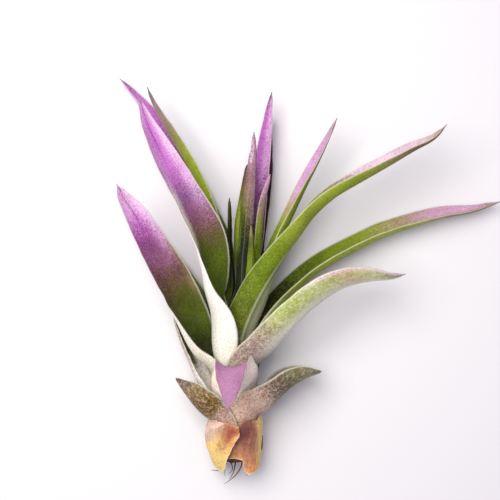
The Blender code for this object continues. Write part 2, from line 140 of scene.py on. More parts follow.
def newSheet(name, acrossFaces, alongFaces):
    # a flat closed sheet, with each vertex's place across it (-1 to 1), along it (0 to 1)
    # and through it (0 outside, 1 inside)
    bm = bmesh.new()
    bmesh.ops.create_grid(bm, x_segments=acrossFaces, y_segments=alongFaces, size=1)
    grown = bmesh.ops.extrude_face_region(bm, geom=bm.faces[:], use_keep_orig=True)
    outer = [item for item in grown["geom"] if isinstance(item, bmesh.types.BMVert)]
    bmesh.ops.translate(bm, verts=outer, vec=(0, 0, -1))
    mesh = toMesh(bm, bpy.data.meshes.new(name))
    across, upward, through = readPlaces(mesh).T
    return mesh, across, (upward + 1) / 2, through + 1


def addSheetMaps(mesh, across, share, inside, reachAcross, reachAlong):
    # the sheet's places for its material: as shares and in millimetres, and its UV map
    maps = dict(sheetPlace=(across, share, inside), sheetReach=(reachAcross, reachAlong, inside))
    for label, values in maps.items():
        made = mesh.attributes.new(label, "FLOAT_VECTOR", "POINT")
        made.data.foreach_set("vector", np.stack(values, axis=1).astype(np.float32).ravel())
    corners = np.zeros(len(mesh.loops), dtype=np.int32)
    mesh.loops.foreach_get("vertex_index", corners)
    spots = np.stack([(across[corners] + 1) / 2, share[corners]], axis=1)
    mesh.uv_layers.new(name="sheetUv").data.foreach_set("uv", spots.astype(np.float32).ravel())


def closePiece(mesh, places, *extras):
    # places the vertices, turns the faces outward, and takes in the extra meshes
    placeVertices(mesh, places)
    bm = bmesh.new()
    bm.from_mesh(mesh)
    bmesh.ops.recalc_face_normals(bm, faces=bm.faces[:])
    if bm.calc_volume(signed=True) < 0:
        bmesh.ops.reverse_faces(bm, faces=bm.faces[:])
    for extra in extras:
        bm.from_mesh(extra)
    toMesh(bm, mesh).shade_smooth()


def showObject(name, data):
    made = bpy.data.objects.new(name, data)
    bpy.context.scene.collection.objects.link(made)
    return made


def showPiece(node, mesh, *materials):
    for material in materials:
        mesh.materials.append(material)
    piece = showObject(node + "_dressed", mesh)
    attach(piece, "root")
    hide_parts(node)


def paint(name):
    linear = (((v / 255 + 0.055) / 1.055) ** 2.4 if v > 10 else v / 3294 for v in palette[name])
    return (*linear, 1)


class Nodes:
    # short ways to add nodes to one material or node group
    def __init__(self, tree):
        self.tree = tree

    def feed(self, socket, value):
        if isinstance(value, bpy.types.NodeSocket):
            self.tree.links.new(value, socket)
        else:
            socket.default_value = value

    def add(self, kind, inputs=None, **settings):
        made = self.tree.nodes.new("ShaderNode" + kind)
        for key, value in settings.items():
            setattr(made, key, value)
        for key, value in (inputs or {}).items():
            self.feed(made.inputs[key], value)
        return made

    def calc(self, operation, *values, clamp=False):
        return self.add("Math", dict(enumerate(values)), operation=operation, use_clamp=clamp).outputs[0]

    def plus(self, first, *others):
        for other in others:
            first = self.calc("ADD", first, other)
        return first

    def times(self, first, second, clamp=False):
        return self.calc("MULTIPLY", first, second, clamp=clamp)

    def minus(self, first, second):
        return self.calc("SUBTRACT", first, second)

    def eased(self, value, low, high, toLow=0.0, toHigh=1.0):
        inputs = {0: value, 1: low, 2: high, 3: toLow, 4: toHigh}
        return self.add("MapRange", inputs, interpolation_type="SMOOTHSTEP").outputs[0]

    def wander(self, value, far):
        return self.add("MapRange", {0: value, 3: -far, 4: far}).outputs[0]

    def blend(self, factor, first, second, kind="MIX"):
        inputs = {0: factor, 6: first, 7: second}
        return self.add("Mix", inputs, data_type="RGBA", blend_type=kind).outputs[2]

    def shade(self, factor, color, shade):
        return self.blend(factor, color, self.blend(1.0, color, shade, "MULTIPLY"))

    def isInside(self, through):
        return self.eased(through, 0.45, 0.55)

    def choose(self, inside, outer, inner):
        return self.add("Mix", {0: inside, 2: outer, 3: inner}, data_type="FLOAT").outputs[0]

    def noise(self, place, scale, detail=2.0, rough=0.5):
        inputs = dict(Vector=place, Scale=scale, Detail=detail, Roughness=rough)
        return self.add("TexNoise", inputs).outputs[0]

    def split(self, vector):
        return self.add("SeparateXYZ", {0: vector}).outputs

    def stretch(self, vector, scales):
        return self.add("VectorMath", {0: vector, 1: scales}, operation="MULTIPLY").outputs[0]

    def ramp(self, value, stops):
        made = self.add("ValToRGB", {0: value})
        elements = made.color_ramp.elements
        while len(elements) < len(stops):
            elements.new(0.5)
        for element, (place, color) in zip(elements, stops.items()):
            element.position = place
            element.color = paint(color)
        return made.outputs[0]

    def group(self, tree, inputs):
        return self.add("Group", inputs, node_tree=tree).outputs

    def objectPlace(self):
        return self.add("TexCoord").outputs["Object"]

    def sheetPlaces(self):
        labels = ("sheetPlace", "sheetReach")
        maps = [self.add("Attribute", attribute_name=label).outputs["Vector"] for label in labels]
        return *maps, self.objectPlace()

    def surface(self, shader, color, rough, height, depth):
        bump = self.add("Bump", dict(Height=height, Distance=depth, Strength=0.5))
        for label, value in (("Base Color", color), ("Roughness", rough), ("Normal", bump.outputs[0])):
            self.feed(shader.inputs[label], value)


def newGroup(name, inputs, outputs):
    tree = bpy.data.node_groups.new(name, "ShaderNodeTree")
    for way, sockets in (("INPUT", inputs), ("OUTPUT", outputs)):
        for kind, labels in sockets.items():
            for label in labels.split():
                tree.interface.new_socket(name=label, in_out=way, socket_type="NodeSocket" + kind)
    return Nodes(tree), tree.nodes.new("NodeGroupInput").outputs, tree.nodes.new("NodeGroupOutput").inputs


def newMaterial(name, settings=None):
    made = bpy.data.materials.new(name)
    made.use_nodes = True
    shader = made.node_tree.nodes["Principled BSDF"]
    for label, value in (settings or {}).items():
        shader.inputs[label].default_value = value
    return made, Nodes(made.node_tree), shader


stemShape = dict(
    path=[
        (1.5, 0.0, 7.2), (0.2, 14.0, 9.2), (-0.5, 27.0, 11.2), (0.3, 38.0, 12.4),
        (2.3, 50.0, 13.0), (3.6, 62.0, 13.0),
    ],
    pathSteps=240,
    length=39.0, baseRadius=5.6, tipRadius=1.2,
    sides=64, rings=60, capRings=8, capStep=0.11,  # capRings: rings of faces across the torn end
    hollow=3.4,  # how deep the torn end has rotted away
    hollowEases=(0.45, 0.82),  # shares of the radius between which the hollow rises to the rim
    rimRise=0.3, ragged=0.5, raggedWaves=(0.11, 0.05, 9),
    lowerLip=1.8, lipEases=(0.1, 0.8),  # how much further the lower side of the torn end reaches
    fibreStretch=(1500, 350, 1500), fibreNoise=(1.0, 3.0, 0.7),
    fibreTones=dict(redBrown=(0.35, 0.6), rust=(0.6, 0.75)),
    roughness=(0.3, 0.7, 0.6, 0.9), bump=0.0004,
)
axis = smoothRows(np.array(stemShape["path"]), stemShape["pathSteps"])
axisRises = np.concatenate([[0], np.cumsum(stepLengths(axis))])
axisAlong = np.gradient(axis, axis=0)


def readAlong(values, rises):
    return np.stack([np.interp(rises, axisRises, column) for column in values.T], axis=1)


def aroundStem(rises, azimuths, radii):
    # places round the stem's axis, and the ways outward there
    along = unit(readAlong(axisAlong, rises))
    right = unit(np.cross(along, (0, 0, 1)))
    up = np.cross(right, along)
    angle = np.radians(azimuths)[:, None]
    out = up * np.cos(angle) + right * np.sin(angle)
    middle = readAlong(axis, rises) + along * np.minimum(rises, 0)[:, None]
    return middle + out * radii[:, None], out


def stemRadius(rise):
    taper = (stemShape["tipRadius"] - stemShape["baseRadius"]) / stemShape["length"]
    return stemShape["baseRadius"] + taper * rise


# Each leaf's foot on the stem, then its midrib's way: x, y, z, half its width, half the angle
# that it curls through, and its turn round the midrib, 0 where it is left out
leafShapes = {
    "leaf_base_under": dict(rise=5.0, azimuth=170, wrap=54, sheath=4.5, path=[
        (0.7, 12.9, 1.6, 5.0, 42), (1.3, 17.8, 1.0, 3.6, 38), (1.9, 22.8, 0.7, 2.0, 32),
        (2.2, 26.5, 0.8, 0.3, 30),
    ]),
    "leaf_base_left": dict(rise=7.0, azimuth=-62, wrap=64, sheath=5.0, path=[
        (-9.3, 13.7, 13.0, 9.6, 70), (-12.8, 17.4, 13.7, 9.2, 74, -4), (-15.5, 21.1, 14.0, 6.6, 66, -4),
        (-17.9, 24.8, 14.0, 0.3, 45, -4),
    ]),
    "leaf_base_right": dict(rise=9.0, azimuth=75, wrap=68, sheath=5.0, path=[
        (9.8, 15.4, 12.0, 9.2, 72), (12.8, 18.5, 12.5, 9.8, 76), (16.7, 22.0, 12.5, 9.6, 80),
        (21.3, 24.8, 12.0, 6.6, 74), (26.1, 26.5, 11.3, 0.3, 45),
    ]),
    "leaf_outer_left": dict(rise=10.0, azimuth=-112, wrap=58, sheath=5.0, path=[
        (-8.3, 19.0, 7.2, 5.4, 48), (-11.2, 23.8, 7.4, 4.9, 54), (-14.1, 30.2, 7.5, 4.5, 60),
        (-16.7, 36.3, 7.8, 3.4, 58), (-18.4, 41.8, 8.2, 1.8, 50), (-19.1, 45.0, 8.5, 0.3, 40),
    ]),
    "leaf_under_right": dict(rise=12.5, azimuth=150, wrap=58, sheath=6.0, path=[
        (3.6, 26.0, 3.0, 5.8, 50), (6.4, 33.9, 2.3, 5.4, 44), (10.6, 40.0, 1.8, 4.8, 40),
        (16.2, 45.8, 0.9, 4.1, 36), (23.1, 49.9, 0.2, 2.6, 32), (29.3, 52.9, 0.8, 1.6, 30),
        (34.2, 54.8, 2.4, 0.3, 30),
    ]),
    "leaf_front_recurved": dict(rise=13.0, azimuth=-2, wrap=74, sheath=8.0, path=[
        (0.3, 26.0, 21.9, 7.6, 65), (-0.2, 28.6, 24.6, 6.4, 62), (-0.8, 26.6, 27.8, 5.1, 50),
        (-1.3, 22.6, 28.4, 3.3, 42), (-2.3, 16.6, 26.9, 0.3, 30),
    ]),
    "leaf_under_left": dict(rise=15.5, azimuth=-165, wrap=56, sheath=6.0, path=[
        (-4.2, 29.0, 3.0, 5.8, 48), (-8.2, 37.0, 2.2, 5.4, 42), (-13.0, 47.0, 1.7, 4.8, 38),
        (-17.9, 55.6, 0.9, 3.8, 34), (-22.3, 63.2, 0.5, 2.6, 32), (-26.0, 68.8, 1.1, 1.3, 30),
        (-28.5, 72.5, 2.2, 0.3, 30),
    ]),
    "leaf_left": dict(rise=18.0, azimuth=-105, wrap=78, sheath=9.0, path=[
        (-11.9, 32.6, 9.8, 9.4, 78, -8), (-16.4, 44.2, 12.5, 8.4, 68, -27), (-19.9, 54.2, 15.0, 6.9, 50, -40),
        (-25.1, 64.7, 17.5, 5.3, 42, -47), (-30.0, 74.0, 19.0, 3.6, 36, -53), (-33.5, 79.5, 19.8, 1.8, 32, -55),
        (-35.1, 82.7, 20.0, 0.3, 30, -55),
    ]),
    "leaf_front_right": dict(rise=19.5, azimuth=50, wrap=72, sheath=9.0, path=[
        (10.0, 32.8, 17.5, 9.2, 70), (15.1, 38.7, 19.5, 9.2, 66, 3), (19.5, 43.5, 20.8, 9.0, 64, 6),
        (24.0, 47.4, 21.6, 9.2, 65, 9), (28.9, 50.8, 22.0, 9.0, 66, 12), (34.5, 53.2, 21.8, 8.0, 66, 17),
        (40.7, 54.4, 21.0, 6.0, 64, 23), (46.3, 54.9, 20.2, 3.2, 55, 30), (50.4, 56.1, 19.8, 0.3, 40, 34),
    ]),
    "leaf_front_left": dict(rise=22.4, azimuth=-60, wrap=54, lean=-20, sheath=10.0, path=[
        (-6.4, 41.6, 16.7, 7.8, 54, -12), (-8.3, 51.3, 17.8, 8.6, 70, -46), (-8.7, 57.6, 19.0, 8.3, 67, -60),
        (-9.5, 66.2, 20.5, 7.3, 62, -78), (-14.5, 77.9, 22.0, 5.7, 52, -85), (-21.5, 91.2, 22.5, 4.3, 46, -88),
        (-26.3, 101.6, 21.5, 2.1, 40, -90), (-28.4, 108.2, 20.5, 0.3, 30, -90),
    ]),
    "leaf_right_low": dict(rise=25.0, azimuth=108, wrap=66, sheath=8.0, path=[
        (9.0, 40.6, 9.0, 6.8, 64), (13.9, 46.7, 8.2, 6.5, 63), (19.7, 52.5, 7.5, 6.4, 62, 2),
        (25.2, 56.9, 6.8, 6.4, 62, 2), (30.5, 60.1, 6.3, 6.3, 62, 2), (37.3, 63.7, 5.8, 6.1, 62, 2),
        (45.0, 67.5, 5.4, 5.6, 60, 4), (54.3, 70.7, 5.0, 4.8, 56, 6), (63.9, 73.5, 4.7, 3.7, 50, 8),
        (73.5, 75.4, 4.5, 2.0, 44, 10), (81.5, 78.1, 4.5, 0.3, 40, 10),
    ]),
    "leaf_back_left_low": dict(rise=27.2, azimuth=-125, wrap=35, lean=28, sheath=12.0, path=[
        (-5.0, 49.0, 5.8, 4.4, 44, -22), (-7.5, 61.7, 5.0, 4.8, 44, -22), (-11.6, 76.2, 3.4, 5.0, 44, -22),
        (-16.4, 87.4, 1.5, 4.4, 40, -26), (-21.4, 97.4, 0.3, 3.4, 36, -32), (-27.6, 106.7, 0.8, 2.0, 32, -32),
        (-32.5, 112.4, 2.2, 1.1, 30, -32), (-36.0, 116.3, 4.0, 0.3, 30, -32),
    ]),
    "leaf_right_arching": dict(rise=28.0, azimuth=20, wrap=74, sheath=10.0, path=[
        (6.4, 48.4, 19.6, 6.6, 72, 2), (12.7, 59.1, 20.5, 6.0, 74, 32), (19.0, 67.6, 20.5, 5.9, 78, 54),
        (23.5, 73.6, 20.5, 5.8, 80, 66), (29.0, 78.6, 20.5, 5.5, 78, 70), (36.2, 83.0, 20.3, 4.9, 74, 74),
        (43.5, 87.2, 20.0, 4.1, 68, 78), (52.7, 92.7, 19.5, 2.9, 60, 82), (59.5, 96.7, 19.2, 1.4, 50, 84),
        (62.8, 100.5, 19.0, 0.3, 40, 84),
    ]),
    "leaf_back_left_upright": dict(rise=32.8, azimuth=-149, wrap=24, lean=3, sheath=12.0, path=[
        (-2.5, 50.0, 8.0, 3.0, 44, 14), (-4.4, 65.9, 10.6, 4.8, 62, 46), (-8.0, 75.3, 11.2, 4.6, 66, 58),
        (-12.0, 84.7, 11.0, 4.2, 66, 60), (-16.2, 92.3, 10.5, 3.7, 64, 60), (-21.0, 100.3, 9.8, 2.8, 60, 60),
        (-25.2, 108.3, 9.0, 1.4, 50, 60), (-26.9, 112.9, 8.8, 0.3, 40, 60),
    ]),
    "leaf_right_upright": dict(rise=31.2, azimuth=100, wrap=31, sheath=12.0, path=[
        (8.2, 51.0, 10.8, 3.0, 48), (11.4, 60.8, 11.0, 4.5, 66), (15.0, 69.0, 11.0, 4.3, 72),
        (18.3, 76.2, 11.5, 3.9, 68, 4), (21.1, 82.3, 11.5, 3.4, 62, 8), (24.2, 88.6, 11.5, 2.7, 55, 14),
        (27.5, 95.6, 11.5, 1.6, 50, 16), (30.7, 103.1, 12.0, 0.3, 40, 16),
    ]),
    "leaf_heart_newest": dict(rise=31.6, azimuth=12, wrap=30, sheath=10.0, path=[
        (3.6, 48.0, 18.2, 2.0, 40), (4.4, 54.0, 18.8, 1.6, 45), (4.8, 60.2, 19.6, 1.3, 45),
        (4.9, 65.6, 20.2, 0.9, 45), (4.7, 70.3, 20.8, 0.3, 40),
    ]),
    "leaf_heart_sliver": dict(rise=34.2, azimuth=-105, wrap=13, sheath=7.0, path=[
        (-1.0, 52.0, 10.2, 1.4, 40), (-2.0, 63.2, 9.8, 1.4, 45), (-2.0, 71.8, 9.4, 1.0, 45),
        (-1.8, 79.1, 9.2, 0.3, 40),
    ]),
    "leaf_heart_low": dict(rise=30.0, azimuth=172, wrap=31, sheath=12.0, path=[
        (4.8, 50.0, 5.6, 3.1, 42), (5.8, 66.3, 4.6, 3.6, 44), (7.5, 78.7, 3.4, 3.5, 42),
        (8.9, 91.1, 2.6, 2.8, 38), (9.8, 98.8, 2.6, 1.5, 32), (10.2, 104.7, 3.1, 0.3, 30),
    ]),
    "leaf_heart_front": dict(rise=34.8, azimuth=-16, wrap=36, sheath=10.0, path=[
        (1.8, 52.0, 17.0, 2.2, 46), (2.2, 60.0, 16.8, 2.5, 56), (2.8, 66.2, 17.0, 2.6, 58),
        (3.4, 75.1, 17.2, 2.5, 58), (4.3, 84.1, 17.0, 2.0, 55), (5.3, 93.1, 16.5, 1.0, 50),
        (5.6, 98.5, 16.5, 0.3, 40),
    ]),
    "leaf_heart_right": dict(rise=35.2, azimuth=62, wrap=34, sheath=10.0, path=[
        (6.5, 53.0, 14.8, 2.1, 46), (7.2, 61.7, 15.0, 2.1, 54), (7.7, 69.2, 15.2, 2.1, 56),
        (8.4, 76.4, 15.5, 1.9, 52), (9.5, 81.8, 15.8, 1.3, 48), (10.4, 85.9, 16.0, 0.3, 40),
    ]),
    "leaf_heart_left": dict(rise=37.6, azimuth=-82, wrap=24, sheath=8.0, path=[
        (0.6, 53.0, 12.0, 1.7, 46), (0.0, 63.2, 11.8, 2.4, 52), (0.1, 71.1, 11.2, 2.5, 52),
        (1.7, 79.9, 11.0, 1.8, 45), (3.5, 89.1, 11.0, 0.3, 40),
    ]),
    "leaf_heart_tall": dict(rise=37.0, azimuth=180, wrap=38, sheath=9.0, path=[
        (3.8, 51.0, 8.6, 2.4, 46), (4.7, 60.0, 8.8, 3.0, 50), (5.5, 66.3, 8.4, 3.3, 50),
        (6.4, 75.5, 7.8, 3.2, 50), (7.4, 84.7, 7.2, 2.9, 48), (8.6, 93.9, 6.8, 2.4, 45),
        (9.9, 103.7, 6.8, 1.4, 40), (11.1, 111.6, 7.0, 0.3, 30),
    ]),
}

leafMake = dict(
    clearance=0.3,  # room between a sheath and the stem
    sheathFlare=0.28, heartFlare=0.12,  # how far a sheath opens for each millimetre that it rises
    flareFallsFrom=20.0, flareFall=0.01,
    sheathThickness=0.7, heartThickness=0.6, heartFrom=30.0,
    bladeThickness=0.9, bladeStarts=0.3, tipThickness=0.6,
    marginShare=0.2,  # thickness left at the margins
    leanEnds=0.4,
    step=0.8, acrossStep=0.7, fewestAcross=8, fineSteps=400,  # length and width of one face
    tipTaper=0.03, tipWidth=0.35, tipThinning=0.55,  # tipTaper: share of the length that draws out
    widthWaver=0.015, widthWaves=(3, 7, 11),
    marginWaver=0.12, marginWaves=(5, 9, 13), waverEases=(0.3, 0.5),
    bluntEases=(0.55, 0.9), bluntEnds=(0.96, 1),
    creaseWidth=0.07, creaseEases=(0.66, 0.85), creaseDepth=0.16, creaseBack=0.12,
    foldLength=0.35, foldRounding=0.2,
    reachEnds=(0.2, 0.6),
)

# What a leaf's look is where its own entry doesn't say
plainLeaf = dict(
    fold=0.3, foldFrom=0.55,  # how far the blade folds along its midrib
    blunt=0,  # how much fuller the blade is before its tip
    reach=0, reachSide=1,  # how much further one side of the sheath wraps
    # creaseLine is painted shade along the crease inside
    crease=0.5, creaseLine=0.3, keel=0.2,  # the midrib's depth, and its lines inside and outside
    down=0.1,  # scales on the inside
    stipple=0.5, innerStipple=None, dust="frost", innerDust=None,  # None: as outside
    mottle=0, rim="frost", rimFrom=0.93, fuzz="frost", tints=(),
)
tintKeys = ("face", "tint", "side", "low", "high", "amount", "until", "start", "full")
plainTint = dict(until=1.2, start=0.0, full=0.6)
underLeaf = dict(
    inner={0: "frost", 0.3: "olive", 0.7: "green", 1: "mauve"},
    outer={0: "cream", 0.3: "frost", 0.7: "green", 1: "mauve"},
    frost=0.4, fold=0.4,
)

# How each leaf is coloured: colours along it from its foot (0) to its tip (1), inside and outside,
# how much frost of scales lies outside, and tints on one side of it: face, colour, side, the places
# along it where the tint begins and is full, how much; and where given, until where along it,
# and where across it the tint begins and is full
leafLooks = {
    "leaf_base_under": dict(
        inner={0: "pinkTan", 1: "scurf"},
        outer={0: "cream", 0.6: "pinkTan", 1: "scurf"},
        frost=0.5, down=0.4, fold=0.2, stipple=0.9,
    ),
    "leaf_base_left": dict(
        inner={0: "pinkTan", 1: "scurf"},
        outer={
            0: "gold", 0.14: "blush", 0.28: "pinkTan", 0.38: "scurf", 0.6: "scurf", 0.8: "tan", 0.9: "greyTip",
            1: "oliveBrown",
        },
        frost=0.08, dust="blush", mottle=0.5, down=0.3, fold=0.2, stipple=0.95,
        tints=[("outer", "frost", 1, 0.2, 0.6, 0.3)],
    ),
    "leaf_base_right": dict(
        inner={0: "pinkTan", 0.6: "greyMauve", 1: "tan"},
        outer={
            0: "apricot", 0.1: "blush", 0.22: "blush", 0.3: "pinkTan", 0.4: "umber", 0.56: "umber",
            0.68: "oliveBrown", 0.78: "tan", 0.9: "tan", 1: "scurf",
        },
        frost=0.25, mottle=0.5, down=0.3, reach=0.5, reachSide=1, fold=0.2, stipple=0.95,
        tints=[
            ("outer", "frost", -1, 0.4, 0.9, 0.45), ("outer", "blush", 1, -0.2, -0.1, 0.7, 0.5, -0.1, 0.5),
        ],
    ),
    "leaf_outer_left": dict(
        # white inside and the white tint are painted light, whiter than the inside's cream where it lies in
        # shade
        inner={0: "pinkTan", 0.25: "white", 0.48: "white", 0.55: "olive", 0.86: "olive", 1: "oliveBrown"},
        outer={0: "cream", 0.2: "white", 0.4: "white", 0.6: "pinkTan", 1: "tan"},
        frost=0.3, reach=0.55, reachSide=-1, down=0.12, stipple=0.8, mottle=0.3, dust="white",
        tints=[("inner", "white", 1, -0.2, -0.1, 1, 0.9, 0.25)],
    ),
    "leaf_under_right": underLeaf,
    "leaf_front_recurved": dict(
        inner={0: "cream", 0.4: "lavender", 0.95: "lavender", 1: "mauve"},
        # warmWhite outside is the sheath's pale colour made brighter as painted light, for light shining
        # through the thin sheath on its side turned from the lamp
        outer={0: "blush", 0.15: "warmWhite", 0.6: "warmWhite", 0.8: "pinkTan", 1: "mauve"},
        frost=0.4, dust="warmWhite", down=0.03, fold=0, mottle=0.3, rimFrom=1.1, innerStipple=0.3, crease=0,
        creaseLine=0,
        tints=[("inner", "plum", -1, 0.3, 0.5, 0.9, 1.2, 0.93, 0.97)],
    ),
    "leaf_under_left": underLeaf,
    "leaf_left": dict(
        # the deepGreen from the foot to 0.22 is painted shade in the leaf's mouth
        inner={
            0.22: "deepGreen", 0.36: "green", 0.48: "olive", 0.57: "umber", 0.67: "plum", 0.76: "magenta",
            0.83: "violet", 0.9: "lilac", 0.975: "lilac", 1: "darkTip",
        },
        outer={0: "pinkTan", 0.2: "cream", 0.6: "white", 0.8: "lilac", 1: "mauve"},
        fuzz="pinkWhite", frost=0.5, down=0.12, dust="white", innerDust="mauve", fold=0.15, stipple=0.7,
        crease=1, creaseLine=1,
        # pinkWhite on one half is a painted highlight, and lilac on the other half is painted light over the
        # fold's shade
        tints=[
            ("inner", "pinkWhite", 1, 0.6, 0.84, 0.8, 1.2, 0.1, 0.85),
            ("inner", "tan", 1, 0.4, 0.52, 0.8, 0.78, 0.62, 1),
            ("inner", "lilac", -1, 0.75, 0.9, 0.6, 1.2, 0.0, 1),
        ],
    ),
    "leaf_front_right": dict(
        inner={0: "frost", 0.4: "paleGreen", 0.8: "paleRose", 1: "pink"},
        outer={
            0: "pinkTan", 0.24: "duskyMauve", 0.36: "tan", 0.42: "pollen", 0.5: "limeGreen", 0.7: "paleGreen",
            0.85: "paleGreen", 0.95: "tan", 1: "darkTip",
        },
        frost=0.42, dust="cream", mottle=0.3, down=0.3, keel=0.8,
        # white on the -1 half is the leaf's frost and also painted light on the side turned away from the lamp
        tints=[
            ("outer", "white", -1, 0.1, 0.3, 0.8, 1.2, -0.65, -0.05),
            ("outer", "pinkWhite", 1, 0.5, 0.68, 0.9, 1.2, 0.8, 0.92),
            ("outer", "clay", 1, 0.66, 0.7, 0.5, 0.86, -0.1, 0.5),
        ],
    ),
    "leaf_front_left": dict(
        inner={
            0: "cream", 0.26: "freshGreen", 0.42: "green", 0.49: "olive", 0.54: "umber", 0.59: "plum",
            0.65: "blueViolet", 0.72: "violet", 0.94: "violet", 0.985: "lilac", 1: "greyTip",
        },
        outer={0: "cream", 0.4: "white", 0.6: "white", 0.8: "lilac"},
        fuzz="pinkWhite", frost=0.5, dust="white", innerDust="mauve", fold=0.18, stipple=0.6, crease=1,
        creaseLine=1,
        # pinkWhite on one half is a painted highlight, and lilac on the other half is painted light over the
        # fold's shade
        tints=[
            ("inner", "pinkWhite", 1, 0.52, 0.78, 0.85, 1.2, 0.1, 0.9),
            ("inner", "cream", -1, 0.24, 0.4, 0.95, 0.76, 0.3, 0.8),
            ("inner", "lilac", -1, 0.6, 0.75, 0.7, 1.2, 0.0, 1),
        ],
    ),
    "leaf_right_low": dict(
        inner={
            # the near-black green near the foot is painted shade inside the rosette
            0: "frost", 0.2: "shadeBlackGreen", 0.32: "deepGreen", 0.42: "freshGreen", 0.6: "spring", 0.7: "pinkTan",
            0.8: "pink", 0.97: "pink", 1: "wine",
        },
        outer={0: "frost", 0.3: "spring", 0.7: "pollen", 0.82: "pinkTan", 0.93: "duskyMauve", 1: "wine"},
        fuzz="paleGreen", frost=0.2, down=0.22, dust="pollen", blunt=0.25, stipple=0.75,
        tints=[("inner", "pinkTan", 1, 0.36, 0.5, 0.75, 1.2, -0.3, 0.3)],
    ),
    "leaf_back_left_low": dict(
        inner={
            0: "deepGreen", 0.5: "olive", 0.62: "oliveBrown", 0.72: "magenta", 0.82: "violet", 0.95: "violet",
            1: "greyTip",
        },
        outer={0: "frost", 0.6: "lilac", 1: "white"},
        fuzz="pinkWhite", frost=0.5, down=0.06, stipple=0.7,
        tints=[("inner", "pinkWhite", -1, 0.62, 0.74, 0.95, 1.2, 0.2, 0.8)],
    ),
    "leaf_right_arching": dict(
        inner={0: "green", 0.4: "freshGreen", 0.64: "tan", 0.71: "paleRose", 0.85: "paleRose", 1: "pinkTan"},
        outer={
            0: "frost", 0.1: "olive", 0.26: "green", 0.36: "freshGreen", 0.46: "spring", 0.68: "limeGreen",
            0.82: "tan", 0.9: "duskyMauve", 1: "wine",
        },
        fuzz="paleGreen", frost=0.3, dust="pollen", down=0.25, innerDust="pinkWhite", blunt=0.3, fold=0.75,
        foldFrom=0.08, stipple=0.6, keel=0.7,
        tints=[("outer", "frost", -1, -0.2, -0.1, 0.85, 0.5, 0.0, 0.35)],
    ),
    "leaf_back_left_upright": dict(
        inner={0.6: "green", 0.8: "tan", 1: "mauve"},
        outer={
            0: "frost", 0.2: "green", 0.45: "freshGreen", 0.6: "limeGreen", 0.72: "limeGreen", 0.8: "tan",
            0.92: "mauve", 1: "greyTip",
        },
        fuzz="paleGreen", frost=0.2, dust="pollen", blunt=0.35, keel=0.6, stipple=0.6,
        # pollen on this half is a painted highlight on the side facing the lamp
        tints=[("outer", "pollen", 1, 0.35, 0.6, 0.85, 0.9, 0.0, 0.8)],
    ),
    "leaf_right_upright": dict(
        inner={
            0: "green", 0.42: "spring", 0.55: "spring", 0.62: "pinkTan", 0.7: "lilac", 0.95: "lilac",
            1: "mauve",
        },
        outer={0: "frost", 0.2: "freshGreen", 0.7: "spring", 0.85: "tan", 1: "mauve"},
        fuzz="paleGreen", frost=0.06, down=0.2, dust="pollen", blunt=0.15, stipple=0.6,
    ),
    # In the heart leaves, the near-black green near the feet, the green and deepGreen rims and the olive hairs
    # are painted shade deep in the rosette
    "leaf_heart_newest": dict(
        inner={0: "green", 1: "tan"},
        outer={0: "shadeBlackGreen", 0.2: "deepGreen", 0.45: "green", 0.7: "freshGreen", 0.9: "olive", 1: "tan"},
        rim="green", fuzz="olive", frost=0.2, dust="pollen", foldFrom=0.1,
    ),
    "leaf_heart_sliver": dict(
        inner={0.8: "deepGreen", 0.95: "olive", 1: "duskyMauve"},
        outer={0.8: "deepGreen", 0.95: "olive", 1: "duskyMauve"},
        rim="deepGreen", fuzz="olive", frost=0.06, down=0.05, blunt=0.5, fold=0.2,
    ),
    "leaf_heart_low": dict(
        inner={0: "deepGreen", 0.4: "wine", 0.8: "wine", 0.92: "deepViolet", 1: "violet"},
        outer={0: "frost", 0.5: "olive", 1: "violet"},
        rim="deepGreen", fuzz="olive", frost=0.3, down=0.04,
        tints=[("inner", "violet", -1, 0.5, 0.7, 0.9)],
    ),
    "leaf_heart_front": dict(
        inner={0: "green", 0.5: "olive", 0.8: "mauve"},
        # the near-black green from 0.15 to 0.52 is painted shade of the rosette's heart; the green tint takes
        # it off one half
        outer={
            0: "frost", 0.15: "shadeBlackGreen", 0.52: "shadeBlackGreen", 0.6: "olive", 0.68: "tan", 0.78: "duskyMauve",
            0.86: "mauve", 0.92: "paleRose", 1: "mauve",
        },
        fuzz="olive", frost=0.03, fold=0.6, foldFrom=0.1, stipple=0.9, keel=0.1, rim="deepGreen",
        tints=[
            ("outer", "mauve", -1, 0.5, 0.66, 0.8), ("outer", "green", 1, 0.4, 0.5, 0.95, 0.74, 0.3),
        ],
    ),
    "leaf_heart_right": dict(
        inner={0: "green", 0.6: "olive", 1: "mauve"},
        outer={0: "frost", 0.15: "green", 0.66: "freshGreen", 0.76: "tan", 0.86: "mauve", 1: "pink"},
        fuzz="paleGreen", frost=0.22, dust="pollen", fold=0.5, foldFrom=0.1, stipple=0.9, keel=0.3,
    ),
    "leaf_heart_left": dict(
        inner={0: "green", 0.6: "olive", 1: "duskyMauve"},
        outer={0: "frost", 0.2: "shadeBlackGreen", 0.46: "green", 0.7: "spring", 0.85: "oliveBrown", 1: "wine"},
        rim="deepGreen", fuzz="olive", frost=0.15, dust="pollen",
    ),
    "leaf_heart_tall": dict(
        inner={
            0: "shadeBlackGreen", 0.45: "deepViolet", 0.62: "magenta", 0.72: "violet", 0.95: "violet",
            0.985: "greyTip", 1: "darkTip",
        },
        outer={0: "frost", 0.4: "olive", 0.8: "lilac", 1: "mauve"},
        fuzz="pinkWhite", frost=0.4, down=0.05, stipple=0.8,
        # lilac over the middle and one half is a painted highlight
        tints=[("inner", "lilac", 1, 0.55, 0.7, 0.9, 1.2, -0.4, 0.3)],
    ),
}
leafLooks = {name: {**plainLeaf, **look} for name, look in leafLooks.items()}
for look in leafLooks.values():
    look["innerStipple"] = look["stipple"] if look["innerStipple"] is None else look["innerStipple"]
    look["innerDust"] = look["innerDust"] or look["dust"]

